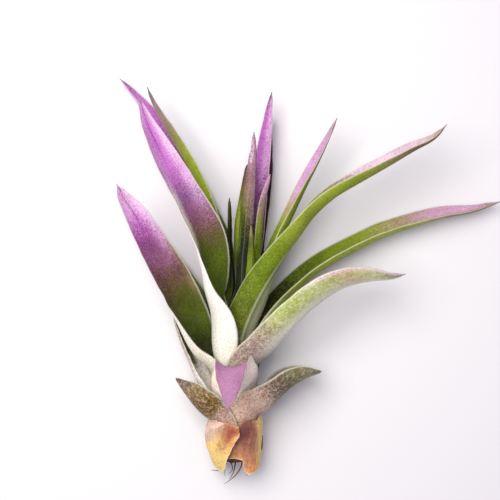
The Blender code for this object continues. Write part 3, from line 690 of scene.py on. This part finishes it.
fuzz = dict(
    perSquare=2.6,  # hairs for each square millimetre of leaf
    margins=0.35, marginFrom=0.99,  # share of the hairs that stand on the margins
    starts=0.12, ends=0.97,
    length=0.34, varies=(0.6, 1.2), radius=0.028,
    lean=0.9, stray=0.45,  # how far they lean to the leaf's tip
    sunk=0.1,  # share of a hair below the surface
    clear=0.15,  # room left to the surface and to the solids' box
    apart=10,  # hairs stand this far apart before they are placed
    aside=(0.31, 0.17, 0.93),  # a direction that no hair follows
    roughness=0.6,
)


def leafRows(shape):
    # rows from the leaf's foot to its tip, and the way outward at its foot
    rise, wrap = shape["rise"], shape["wrap"]
    foot = stemRadius(rise) + leafMake["clearance"] + leafMake["sheathThickness"] / 2
    fallen = max(0, rise - leafMake["flareFallsFrom"]) * leafMake["flareFall"]
    flare = max(leafMake["sheathFlare"] - fallen, leafMake["heartFlare"])
    climbs = shape["sheath"] * np.array([0, 0.5, 1])
    radii = foot + flare * climbs
    places, outs = aroundStem(rise + climbs, np.full(3, shape["azimuth"]), radii)
    rows = [(*place, radius * math.radians(wrap), wrap, 0) for place, radius in zip(places, radii)]
    rows += [(*row, 0)[:6] for row in shape["path"]]
    return np.array(rows, dtype=float), outs[0]


def faceFrames(points, firstFace):
    # the way forward at each point, and the leaf's face there, carried along without a twist
    along = unit(np.gradient(points, axis=0))
    faces = [firstFace]
    for direction in along:
        faces.append(unit(faces[-1] - direction * np.dot(faces[-1], direction)))
    return along, np.array(faces[1:])


def leafForm(name, across, share, inside):
    # how a leaf is drawn out, thinned, creased and folded
    look, make = leafLooks[name], leafMake
    drawn = ease(share, 1 - make["tipTaper"], 1)
    wavering = ease(share, *make["waverEases"])
    width = 1 - (1 - make["tipWidth"]) * drawn
    width = width * (1 + make["widthWaver"] * ripple(name, share, make["widthWaves"]) * wavering)
    fuller = ease(share, *make["bluntEases"]) * (1 - ease(share, *make["bluntEnds"]))
    wavy = make["marginWaver"] * ripple(name, share, make["marginWaves"]) * np.sign(across) * across**2
    crease = np.exp(-((across / make["creaseWidth"]) ** 2)) * ease(share, *make["creaseEases"]) * (1 - drawn)
    depth = inside * make["creaseDepth"] * look["crease"] + (1 - inside) * make["creaseBack"]
    wrapped = ease(across * look["reachSide"], 0, 1) * (1 - ease(share, *make["reachEnds"]))
    return dict(
        lean=leafShapes[name].get("lean", 0) * np.maximum(0, 1 - share / make["leanEnds"]),
        width=width * (1 + look["blunt"] * fuller),
        thick=(1 - (1 - make["marginShare"]) * across**2) * (1 - make["tipThinning"] * drawn),
        relief=wavy * wavering * (1 - drawn) - crease * depth,
        fold=look["fold"] * ease(share, look["foldFrom"], look["foldFrom"] + make["foldLength"]),
        reach=1 + look["reach"] * wrapped,
    )


def hairBatch(count):
    # one three-sided hair, 1 long and 1 in radius, doubled until there are enough, in a row along x
    bm, mesh = bmesh.new(), bpy.data.meshes.new("hairs")
    lift = Matrix.Translation((0, 0, 0.5))
    bmesh.ops.create_cone(bm, cap_ends=True, segments=3, radius1=1, radius2=0, depth=1, matrix=lift)
    made = 1
    while made < count:
        bm.to_mesh(mesh)
        mesh.transform(Matrix.Translation((fuzz["apart"] * made, 0, 0)))
        bm.from_mesh(mesh)
        made *= 2
    end = fuzz["apart"] * (count - 0.5)
    bmesh.ops.delete(bm, geom=[vert for vert in bm.verts if vert.co.x > end], context="VERTS")
    return toMesh(bm, mesh)


def growFuzz(name, places, forward, outward, across, share, area):
    # short hairs, thicker set on the margins, leaning to the tip
    draw = np.random.default_rng(seedOf(name))
    low, high = (np.array(corner) + sign * fuzz["clear"] * mm for corner, sign in zip(solidBounds, (1, -1)))
    bearing = (share > fuzz["starts"]) & (share < fuzz["ends"])
    onMargin = np.abs(across) > fuzz["marginFrom"]
    count = int(area * fuzz["perSquare"])
    marginCount = int(count * fuzz["margins"])
    picked = np.concatenate([
        draw.choice(np.flatnonzero(bearing & onMargin), marginCount),
        draw.choice(np.flatnonzero(bearing & ~onMargin), count - marginCount),
    ])
    feet = places[picked] + forward[picked] * draw.uniform(-0.5, 0.5, (count, 1)) * leafMake["step"]
    ways = unit(outward[picked] + forward[picked] * fuzz["lean"] + draw.normal(0, fuzz["stray"], (count, 3)))
    lengths = fuzz["length"] * draw.uniform(*fuzz["varies"], count)[:, None]
    feet = feet - ways * lengths * fuzz["sunk"]
    ends = np.stack([feet, feet + ways * lengths]) * mm
    kept = np.all((ends > low) & (ends < high), axis=(0, 2))
    feet, ways, lengths = feet[kept], ways[kept], lengths[kept]
    first = unit(np.cross(ways, fuzz["aside"]))
    second = np.cross(ways, first)
    mesh = hairBatch(len(feet))
    aside, upward, along = readPlaces(mesh).T
    owner = np.rint(aside / fuzz["apart"]).astype(int)
    aside = aside - owner * fuzz["apart"]
    spots = feet[owner] + (first[owner] * aside[:, None] + second[owner] * upward[:, None]) * fuzz["radius"]
    placeVertices(mesh, spots + ways[owner] * (along * lengths[owner, 0])[:, None])
    mesh.polygons.foreach_set("material_index", np.ones(len(mesh.polygons), dtype=np.int32))
    return mesh


def bendSheet(name, rows, firstFace, acrossFaces, alongFaces, thicknesses):
    # bends a flat sheet round the rows and grows its hairs
    mesh, across, share, inside = newSheet(name, acrossFaces, alongFaces)
    steps = leafMake["fineSteps"]
    fine = smoothRows(rows, steps)
    along, faces = faceFrames(fine[:, :3], firstFace)
    low = np.clip((share * steps).astype(int), 0, steps - 1)
    part = (share * steps - low)[:, None]
    row, forward, face = (v[low] * (1 - part) + v[low + 1] * part for v in (fine, along, faces))
    turned = np.radians(row[:, 5])[:, None]
    face = face * np.cos(turned) + np.cross(forward, face) * np.sin(turned)
    level = np.cross(forward, face)

    form = leafForm(name, across, share, inside)
    bend = np.radians(np.maximum(row[:, 4], 1))
    radius = row[:, 3] * form["width"] / bend
    angle = across * form["reach"] * bend + np.radians(form["lean"])
    rounding = leafMake["foldRounding"]
    folded = (np.hypot(across, rounding) - rounding) / (math.hypot(1, rounding) - rounding)
    fold = form["fold"]
    lift = radius * ((1 - np.cos(angle)) * (1 - fold) + fold * folded * (1 - np.cos(bend)))
    sine, cosine = np.sin(angle)[:, None], np.cos(angle)[:, None]
    normal = face * cosine - level * sine
    thick = np.interp(share, (0, leafMake["bladeStarts"], 1), thicknesses) * form["thick"]
    places = row[:, :3] + level * sine * radius[:, None] + face * lift[:, None]
    places = places + normal * (thick * (inside - 0.5) + form["relief"])[:, None]
    top = solidBounds[1][2] / mm
    places[:, 2] = np.clip(places[:, 2], inside * thick, top - (1 - inside) * thick)

    length = stepLengths(fine[:, :3]).sum()
    addSheetMaps(mesh, across, share, inside, across * row[:, 3], share * length)
    atMargin = (np.abs(across) > fuzz["marginFrom"])[:, None]
    sideways = (level * cosine + face * sine) * np.sign(across)[:, None]
    outward = np.where(atMargin, sideways, normal * (2 * inside - 1)[:, None])
    area = 4 * length * row[:, 3].mean()  # two faces, each two half widths broad
    closePiece(mesh, places, growFuzz(name, places, forward, outward, across, share, area))
    return mesh


def buildLeaf(name):
    shape = leafShapes[name]
    rows, out = leafRows(shape)
    foot = "heartThickness" if shape["rise"] > leafMake["heartFrom"] else "sheathThickness"
    thicknesses = [leafMake[key] for key in (foot, "bladeThickness", "tipThickness")]
    acrossFaces = max(2 * round(rows[:, 3].max() / leafMake["acrossStep"]), leafMake["fewestAcross"])
    alongFaces = round(stepLengths(rows[:, :3]).sum() / leafMake["step"])
    mesh = bendSheet(name, rows, -out, acrossFaces, alongFaces, thicknesses)
    showPiece(name, mesh, leafMaterial(name), fuzzMaterials[leafLooks[name]["fuzz"]])


# A noise is its scale, detail and roughness; a mask its low and high and what they turn into
velvet = dict(
    wanderNoise=(380.0, 3.0, 0.7), wander=0.05,  # how far the colours' edges wander along a leaf
    grainWanderNoise=(2000.0, 2.0, 0.8), grainWander=0.16,
    tintEnds=0.12,
    blotchNoise=(130.0, 3.0), blotchMask=(0.3, 0.75, 0.0, 0.4),
    veinStretch=(2.6, 0.05, 0.0), veinMask=(0.35, 0.7, 0.0, 0.12),
    stippleNoise=(2300.0, 3.0, 0.8), stippleMask=(0.48, 0.62),
    cellScale=2100.0, cellMask=(0.55, 0.2, 0.0, 0.6),
    grainNoise=(2600.0, 3.0, 0.8), grainMask=(0.4, 0.65, 0.0, 0.7),
    patchNoise=(420.0, 2.0, 0.6), patchMask=(0.3, 0.65, 0.45, 1.0),
    mottleNoise=(900.0, 5.0, 0.9), paleMask=(0.49, 0.62), darkMask=(0.5, 0.36), innerMottle=0.1,
    rimWidth=0.06, rimEnds=(0.99, 0.9, 0.0, 0.65),
    lineMask=(0.09, 0.02), lineFrom=0.74, lineLength=0.15, line=0.6,
    roughMask=(0.3, 0.7, 0.5, 0.7), frostRough=0.15, relief=0.5, bump=0.00012,
    surface={"Sheen Weight": 0.02, "Sheen Roughness": 0.4, "Specular IOR Level": 0.1},
)


def buildSideTint():
    # tints one half of a leaf, between two places along it
    n, given, out = newGroup(
        "sideTint",
        dict(Color="color tint", Vector="place", Float="side low high until start full amount"),
        dict(Color="color"),
    )
    across, share, _ = n.split(given["place"])
    tinted = n.eased(n.times(across, given["side"]), given["start"], given["full"])
    tinted = n.times(tinted, n.eased(share, given["low"], given["high"]))
    ends = n.eased(share, given["until"], n.minus(given["until"], velvet["tintEnds"]))
    tinted = n.times(n.times(tinted, ends), given["amount"])
    n.feed(out["color"], n.blend(tinted, given["color"], given["tint"]))
    return n.tree


velvetColors = "dust innerDust rim"
velvetValues = "frost down stipple innerStipple keel creaseLine rimFrom mottle"


def buildVelvet():
    # scales, stipple, veins, margins, pale on most leaves and dark as painted shade on some heart leaves, and
    # the midrib's lines, painted shade in the crease inside, over a leaf's inside and outside colours
    n, given, out = newGroup(
        "velvetLeaf",
        dict(Color="inner outer " + velvetColors, Vector="place reach position", Float=velvetValues),
        dict(Color="color", Float="roughness height"),
    )
    across, share, through = n.split(given["place"])
    inside = n.isInside(through)
    off = n.calc("ABSOLUTE", across)
    position = given["position"]
    color = n.blend(inside, given["outer"], given["inner"])

    blotches = n.noise(position, *velvet["blotchNoise"])
    color = n.shade(n.eased(blotches, *velvet["blotchMask"]), color, color)
    veins = n.noise(n.stretch(given["reach"], velvet["veinStretch"]), 1.0)
    color = n.blend(n.eased(veins, *velvet["veinMask"]), color, veinShade)
    dark = n.eased(n.noise(position, *velvet["stippleNoise"]), *velvet["stippleMask"])
    dark = n.times(dark, n.choose(inside, given["stipple"], given["innerStipple"]))
    color = n.shade(dark, color, stippleShade)

    cells = n.add("TexVoronoi", dict(Vector=position, Scale=velvet["cellScale"])).outputs[0]
    grain = n.noise(position, *velvet["grainNoise"])
    patches = n.noise(position, *velvet["patchNoise"])
    frost = n.plus(n.eased(cells, *velvet["cellMask"]), n.eased(grain, *velvet["grainMask"]))
    frost = n.times(frost, n.eased(patches, *velvet["patchMask"]))
    frost = n.times(frost, n.choose(inside, given["frost"], given["down"]), clamp=True)
    dust = n.blend(inside, given["dust"], given["innerDust"])
    color = n.blend(frost, color, dust)
    mottled = n.noise(position, *velvet["mottleNoise"])
    amount = n.times(given["mottle"], n.eased(inside, 0.0, 1.0, 1.0, velvet["innerMottle"]))
    color = n.blend(n.times(n.eased(mottled, *velvet["paleMask"]), amount), color, dust)
    color = n.shade(n.times(n.eased(mottled, *velvet["darkMask"]), amount), color, mottleShade)

    rim = n.eased(off, given["rimFrom"], n.plus(given["rimFrom"], velvet["rimWidth"]))
    color = n.blend(n.times(rim, n.eased(share, *velvet["rimEnds"])), color, given["rim"])
    # the midrib's line: painted shade in the crease inside, pale along the keel outside
    line = n.times(n.choose(inside, given["keel"], given["creaseLine"]), n.eased(off, *velvet["lineMask"]))
    low = n.choose(inside, 0.0, velvet["lineFrom"])
    line = n.times(line, n.eased(share, low, n.plus(low, velvet["lineLength"]), 0.0, velvet["line"]))
    n.feed(out["color"], n.blend(line, color, n.blend(inside, paint("frost"), creaseShade)))
    rough = n.plus(n.eased(grain, *velvet["roughMask"]), n.times(frost, velvet["frostRough"]))
    n.feed(out["roughness"], rough)
    n.feed(out["height"], n.times(n.plus(veins, frost, grain), velvet["relief"]))
    return n.tree


sideTint = buildSideTint()
velvetLeaf = buildVelvet()


def leafMaterial(name):
    look = leafLooks[name]
    made, n, shader = newMaterial("velvet_" + name, velvet["surface"])
    place, reach, position = n.sheetPlaces()
    across, share, _ = n.split(place)
    wander = n.wander(n.noise(position, *velvet["wanderNoise"]), velvet["wander"])
    grain = n.wander(n.noise(position, *velvet["grainWanderNoise"]), velvet["grainWander"])
    share = n.plus(share, wander, grain)
    wandering = n.add("CombineXYZ", {0: across, 1: share}).outputs[0]
    sides = {face: n.ramp(share, look[face]) for face in ("inner", "outer")}
    for tint in look["tints"]:
        given = {**plainTint, **dict(zip(tintKeys, tint))}
        face = given.pop("face")
        given.update(color=sides[face], place=wandering, tint=paint(given["tint"]))
        sides[face] = n.group(sideTint, given)["color"]
    given = dict(place=place, reach=reach, position=position, **sides)
    given.update({key: look[key] for key in velvetValues.split()})
    given.update({key: paint(look[key]) for key in velvetColors.split()})
    out = n.group(velvetLeaf, given)
    n.surface(shader, out["color"], out["roughness"], out["height"], velvet["bump"])
    return made


def fuzzMaterial(color):
    return newMaterial("fuzz_" + color, {"Base Color": paint(color), "Roughness": fuzz["roughness"]})[0]


fuzzColors = sorted({look["fuzz"] for look in leafLooks.values()})
fuzzMaterials = {color: fuzzMaterial(color) for color in fuzzColors}
for leafName in leafShapes:
    buildLeaf(leafName)
print("leaves made")


# Edges are rows of azimuth, lower and upper rise; radii are rows of rise and radius
huskLooks = {
    "husk_under": dict(
        edges=[
            (114, 1, 5), (130, -2.4, 6.5), (150, -3.6, 8), (178, -3.9, 9.6), (206, -3.6, 8), (226, -2.4, 6.5),
            (242, 1, 5),
        ],
        radii=[(-4, 6.6), (-2, 7.0), (1.5, 7.75), (5, 8.2), (7.6, 8.4), (9.6, 8.5)],
        torn=0.5, creases=0.12, curl=0.0, curlSide=1, edge="amber", edgeFrom=0.4, slant=0.0, inner="redBrown",
        stops={0: "amber", 0.3: "huskTan", 0.7: "pinkTan", 1: "cream"},
        patch=dict(across=0.2, share=0.4, wide=0.4, tall=0.3, color="clay"),
    ),
    "husk_right": dict(
        edges=[
            (-44, 1.2, 5), (-20, 1.4, 8), (0, 1.0, 10), (6, 0.6, 11), (9, -3.0, 12), (16, -3.9, 13),
            (22, -4.3, 13.4), (36, -4.4, 12.6), (52, -4.3, 12.4), (66, -4.0, 12.6), (80, -3.0, 12.8),
            (90, -1.5, 12.2), (104, 0, 11),
        ],
        radii=[(-4.4, 5.9), (-1, 6.3), (2, 6.5), (6, 7.2), (10, 7.7), (13, 7.6)],
        torn=0.3, creases=0.2, curl=-0.5, curlSide=1, edge="gold", edgeFrom=0.1, slant=0.0, inner="apricot",
        stops={0: "apricot", 0.08: "apricot", 0.2: "huskTan", 0.5: "clay", 0.8: "huskTan", 1: "clay"},
        patch=dict(across=-0.18, share=0.8, wide=0.42, tall=0.34, color="huskWine"),
    ),
    "husk_left": dict(
        edges=[
            (-118, 3, 8), (-104, -0.6, 12), (-88, -2.2, 14), (-66, -3, 14), (-48, -3, 13.6), (-38, -1.6, 13.4),
            (-30, 0.6, 13.2), (-20, 3.4, 13), (-8, 6.6, 12.6), (4, 9.5, 12),
        ],
        radii=[(-3, 7.4), (1, 9.2), (4.5, 10.0), (8, 10.0), (11, 9.2), (14, 8.2)],
        torn=0.4, creases=0.2, curl=0.3, curlSide=-1, edge="apricot", edgeFrom=0.45, slant=0.25, inner="gold",
        stops={0: "gold", 0.1: "gold", 0.55: "gold", 0.75: "pinkTan", 0.86: "blush", 1: "pinkTan"},
        patch=dict(across=0.72, share=0.64, wide=0.4, tall=0.36, color="rust"),
    ),
}
huskMake = dict(
    faces=(72, 44), thickness=0.22,
    lowWaves=(1.3, 3.1, 6.7, 12.1), highWaves=(1.9, 4.3, 9.1),
    highTorn=0.6,  # how torn the upper edge is beside the lower one
    creaseWaves=(1.3, 2.9, 5.7), creaseBends=0.12, bendWaves=(0.8, 2.1),
    curlEases=(0.75, 1), curlAcross=(0, 0.5),
    mapRadius=8,
    fibreStretch=(3.2, 0.25, 0.0), fibreNoise=(1.0, 3.0, 0.6), fibreMask=(0.5, 0.8, 0.0, 0.25),
    blotchNoise=(260.0, 3.0, 0.6), blotchWander=0.2,
    crumpleNoise=(900.0, 3.0, 0.7), crumpleWander=0.18,
    speckNoise=(1500.0, 3.0, 0.8), speckMask=(0.54, 0.68, 0.0, 0.6), speckRelief=0.3,
    edgeWidth=0.4, edgeMost=0.8,
    patchRagged=3.0, patchMask=(1.6, 0.1),
    tornHighlightMask=(0.04, 0.015, 0.0, 0.7),
    roughMask=(0.3, 0.7, 0.5, 0.8), bump=0.00025,
    surface={"Subsurface Weight": 0.15, "Subsurface Radius": (0.0012, 0.0008, 0.0004), "Subsurface Scale": 1.0},
)


def huskMaterial(name):
    look, patch, make = huskLooks[name], huskLooks[name]["patch"], huskMake
    made, n, shader = newMaterial("papery_" + name, make["surface"])
    place, reach, position = n.sheetPlaces()
    across, share, through = n.split(place)
    fibres = n.noise(n.stretch(reach, make["fibreStretch"]), *make["fibreNoise"])
    kinds = ("blotchNoise", "crumpleNoise", "speckNoise")
    blotches, crumpled, specks = (n.noise(position, *make[kind]) for kind in kinds)
    wander = n.plus(n.wander(blotches, make["blotchWander"]), n.wander(crumpled, make["crumpleWander"]))
    slanted = n.minus(share, n.times(across, look["slant"]))
    color = n.ramp(n.plus(slanted, wander), look["stops"])
    edgeEnd = look["edgeFrom"] + make["edgeWidth"]
    fromMiddle = n.calc("DIVIDE", n.minus(across, patch["across"]), patch["wide"])
    upMiddle = n.calc("DIVIDE", n.minus(share, patch["share"]), patch["tall"])
    away = n.calc("SQRT", n.plus(n.times(fromMiddle, fromMiddle), n.times(upMiddle, upMiddle)))
    away = n.plus(away, n.times(wander, make["patchRagged"]))
    for mask, layer in (
        (n.eased(n.plus(across, wander), look["edgeFrom"], edgeEnd, 0.0, make["edgeMost"]), look["edge"]),
        (n.eased(away, *make["patchMask"]), patch["color"]),
        (n.eased(fibres, *make["fibreMask"]), "rust"),
        (n.eased(specks, *make["speckMask"]), "redBrown"),
        # a thin cream line along the torn lower edge is a painted highlight
        (n.eased(share, *make["tornHighlightMask"]), "cream"),
        (n.isInside(through), look["inner"]),
    ):
        color = n.blend(mask, color, paint(layer))
    height = n.plus(fibres, n.times(specks, make["speckRelief"]))
    n.surface(shader, color, n.eased(specks, *make["roughMask"]), height, make["bump"])
    return made


def buildHusk(name):
    look, make = huskLooks[name], huskMake
    mesh, across, share, inside = newSheet(name, *make["faces"])
    azimuths, lows, highs = np.array(look["edges"], dtype=float).T
    azimuth = azimuths[0] + (azimuths[-1] - azimuths[0]) * (across + 1) / 2
    low = np.interp(azimuth, azimuths, lows) + look["torn"] * ripple(name, across, make["lowWaves"])
    high = np.interp(azimuth, azimuths, highs)
    high = high + make["highTorn"] * look["torn"] * ripple(name, across, make["highWaves"])
    rise = low + (high - low) * share
    bent = across + make["creaseBends"] * ripple(name, share, make["bendWaves"])
    radius = np.interp(rise, *np.array(look["radii"], dtype=float).T)
    radius = radius + look["creases"] * ripple(name, bent, make["creaseWaves"])
    curled = ease(1 - share, *make["curlEases"]) * ease(across * look["curlSide"], *make["curlAcross"])
    radius = radius + look["curl"] * curled - inside * make["thickness"]
    places, _ = aroundStem(rise, azimuth, radius)
    places[:, 2] = np.maximum(places[:, 2], inside * make["thickness"])
    addSheetMaps(mesh, across, share, inside, np.radians(azimuth) * make["mapRadius"], rise)
    closePiece(mesh, places)
    showPiece(name, mesh, huskMaterial(name))


for huskName in huskLooks:
    buildHusk(huskName)
print("husks made")


# Each root's radius and the points that it runs through
roots = [
    (0.25, [(-2.6, 2.5, 7.4), (-3.6, -1.6, 6.8), (-4.2, -3.2, 5.8), (-4.8, -4.4, 5.4), (-7.6, -4.6, 4.6)]),
    (0.18, [(-2.0, 2.5, 8.2), (-3.2, -2.8, 8.0), (-3.3, -6.0, 7.2)]),
    (0.22, [(0.4, 2.5, 7.0), (-0.2, -2.8, 6.8), (-0.8, -5.3, 6.0), (-2.0, -7.4, 4.6)]),
    (0.22, [(1.8, 2.5, 8.2), (1.8, -2.6, 8.0), (0.6, -5.0, 7.2), (-1.2, -7.0, 6.0), (-3.7, -9.0, 4.4)]),
    (0.2, [(2.6, 2.5, 6.0), (3.2, -2.4, 5.4), (2.8, -5.0, 4.0), (3.6, -6.6, 2.4)]),
    (0.18, [(-0.6, 2.5, 5.4), (-1.4, -2.2, 4.6), (-1.0, -4.6, 3.0), (-2.2, -6.4, 1.4)]),
]
rootMake = dict(steps=24, sides=2, thinning=0.75)  # thinning: share of the radius lost at the tip


def buildRoot(radius, points):
    curve = bpy.data.curves.new("root", "CURVE")
    curve.dimensions = "3D"
    curve.bevel_depth = radius * mm
    curve.bevel_resolution = rootMake["sides"]
    curve.use_fill_caps = True
    steps = rootMake["steps"]
    spline = curve.splines.new("POLY")
    spline.points.add(steps)
    for i, (point, place) in enumerate(zip(spline.points, smoothRows(np.array(points), steps))):
        point.co = (*(place * mm), 1)
        point.radius = 1 - rootMake["thinning"] * (i / steps) ** 2
    guide = showObject("root", curve)
    bpy.context.view_layer.update()
    mesh = bpy.data.meshes.new_from_object(guide.evaluated_get(bpy.context.evaluated_depsgraph_get()))
    bpy.data.objects.remove(guide)
    return mesh


def stemMaterial():
    made, n, shader = newMaterial("torn_stem")
    fibres = n.noise(n.stretch(n.objectPlace(), stemShape["fibreStretch"]), *stemShape["fibreNoise"])
    color = paint("darkTip")
    for tone, mask in stemShape["fibreTones"].items():
        color = n.blend(n.eased(fibres, *mask), color, paint(tone))
    n.surface(shader, color, n.eased(fibres, *stemShape["roughness"]), fibres, stemShape["bump"])
    return made


def buildStem():
    shape = stemShape
    bm = bmesh.new()
    bmesh.ops.create_cone(bm, cap_ends=True, segments=shape["sides"], radius1=1, radius2=1, depth=1)
    long = [edge for edge in bm.edges if abs(edge.verts[0].co.z - edge.verts[1].co.z) > 0.5]
    bmesh.ops.subdivide_edges(bm, edges=long, cuts=shape["rings"] - 1, use_grid_fill=True)
    lowCap = [face for face in bm.faces if len(face.verts) > 4 and face.calc_center_median().z < 0]
    for i in range(shape["capRings"]):
        bmesh.ops.inset_region(bm, faces=lowCap, thickness=shape["capStep"], use_even_offset=True)
    bmesh.ops.poke(bm, faces=lowCap)
    mesh = toMesh(bm, bpy.data.meshes.new("stem"))

    right, forward, height = readPlaces(mesh).T
    wide = np.hypot(right, forward)
    azimuth = np.degrees(np.arctan2(right, forward))
    turns, slowTurns, inward = shape["raggedWaves"]
    torn = shape["hollow"] * (1 - ease(wide, *shape["hollowEases"])) + shape["rimRise"]
    torn = torn + shape["ragged"] * np.sin(azimuth * turns) * np.sin(azimuth * slowTurns + wide * inward)
    below = -np.cos(np.radians(azimuth)) * wide
    torn = np.maximum(torn, 0) - shape["lowerLip"] * ease(below, *shape["lipEases"])
    rise = np.where(height < -0.499, torn, shape["length"] * (height + 0.5))  # the low cap lies at -0.5
    places, _ = aroundStem(rise, azimuth, stemRadius(rise) * wide)
    closePiece(mesh, places, *(buildRoot(*root) for root in roots))
    showPiece("stem_with_roots", mesh, stemMaterial())


buildStem()
print("stem made")

studio = dict(
    floorSize=2, floorDrop=0.0001,  # the floor lies just under the plant
    floor={"Base Color": paint("paper"), "Roughness": 0.8, "Specular IOR Level": 0.2},
    keyFrom=(-0.38, 0.27, 1.0), keyAt=(0.015, 0.055, 0.01), keyDistance=0.32,
    keySize=0.24, keyPower=1.5, keyColor=(1.0, 0.965, 0.91),
    fillColor=(0.92, 0.89, 1.0), fillStrength=0.62,
    cameraAt=(0.0044, 0.0632, 0.4), lens=92.4,
)


def buildStudio():
    bm = bmesh.new()
    bmesh.ops.create_grid(bm, x_segments=2, y_segments=2, size=studio["floorSize"])
    bmesh.ops.translate(bm, verts=bm.verts[:], vec=(0, 0, -studio["floorDrop"]))
    mesh = toMesh(bm, bpy.data.meshes.new("floor"))
    mesh.materials.append(newMaterial("pale_floor", studio["floor"])[0])
    floor = showObject("floor", mesh)

    light = bpy.data.lights.new("key", "AREA")
    light.size = studio["keySize"]
    light.energy = studio["keyPower"]
    light.color = studio["keyColor"]
    lamp = showObject("key", light)
    lamp.visible_camera = False
    towards = unit(np.array(studio["keyFrom"]))
    lamp.location = np.array(studio["keyAt"]) + towards * studio["keyDistance"]
    lamp.rotation_euler = Vector(towards).to_track_quat("Z", "Y").to_euler()

    world = bpy.data.worlds.new("fill")
    bpy.context.scene.world = world
    world.use_nodes = True
    fill = world.node_tree.nodes["Background"].inputs
    fill[0].default_value = (*studio["fillColor"], 1)
    fill[1].default_value = studio["fillStrength"]
    bpy.context.scene.view_settings.view_transform = "Standard"


def buildCamera():
    camera = bpy.data.cameras.new("camera")
    camera.lens = studio["lens"]
    camera.sensor_width = 36
    camera.clip_start = 0.01
    viewer = showObject("camera", camera)
    viewer.location = studio["cameraAt"]
    bpy.context.scene.camera = viewer


buildStudio()
buildCamera()
print("stage, light and camera made")
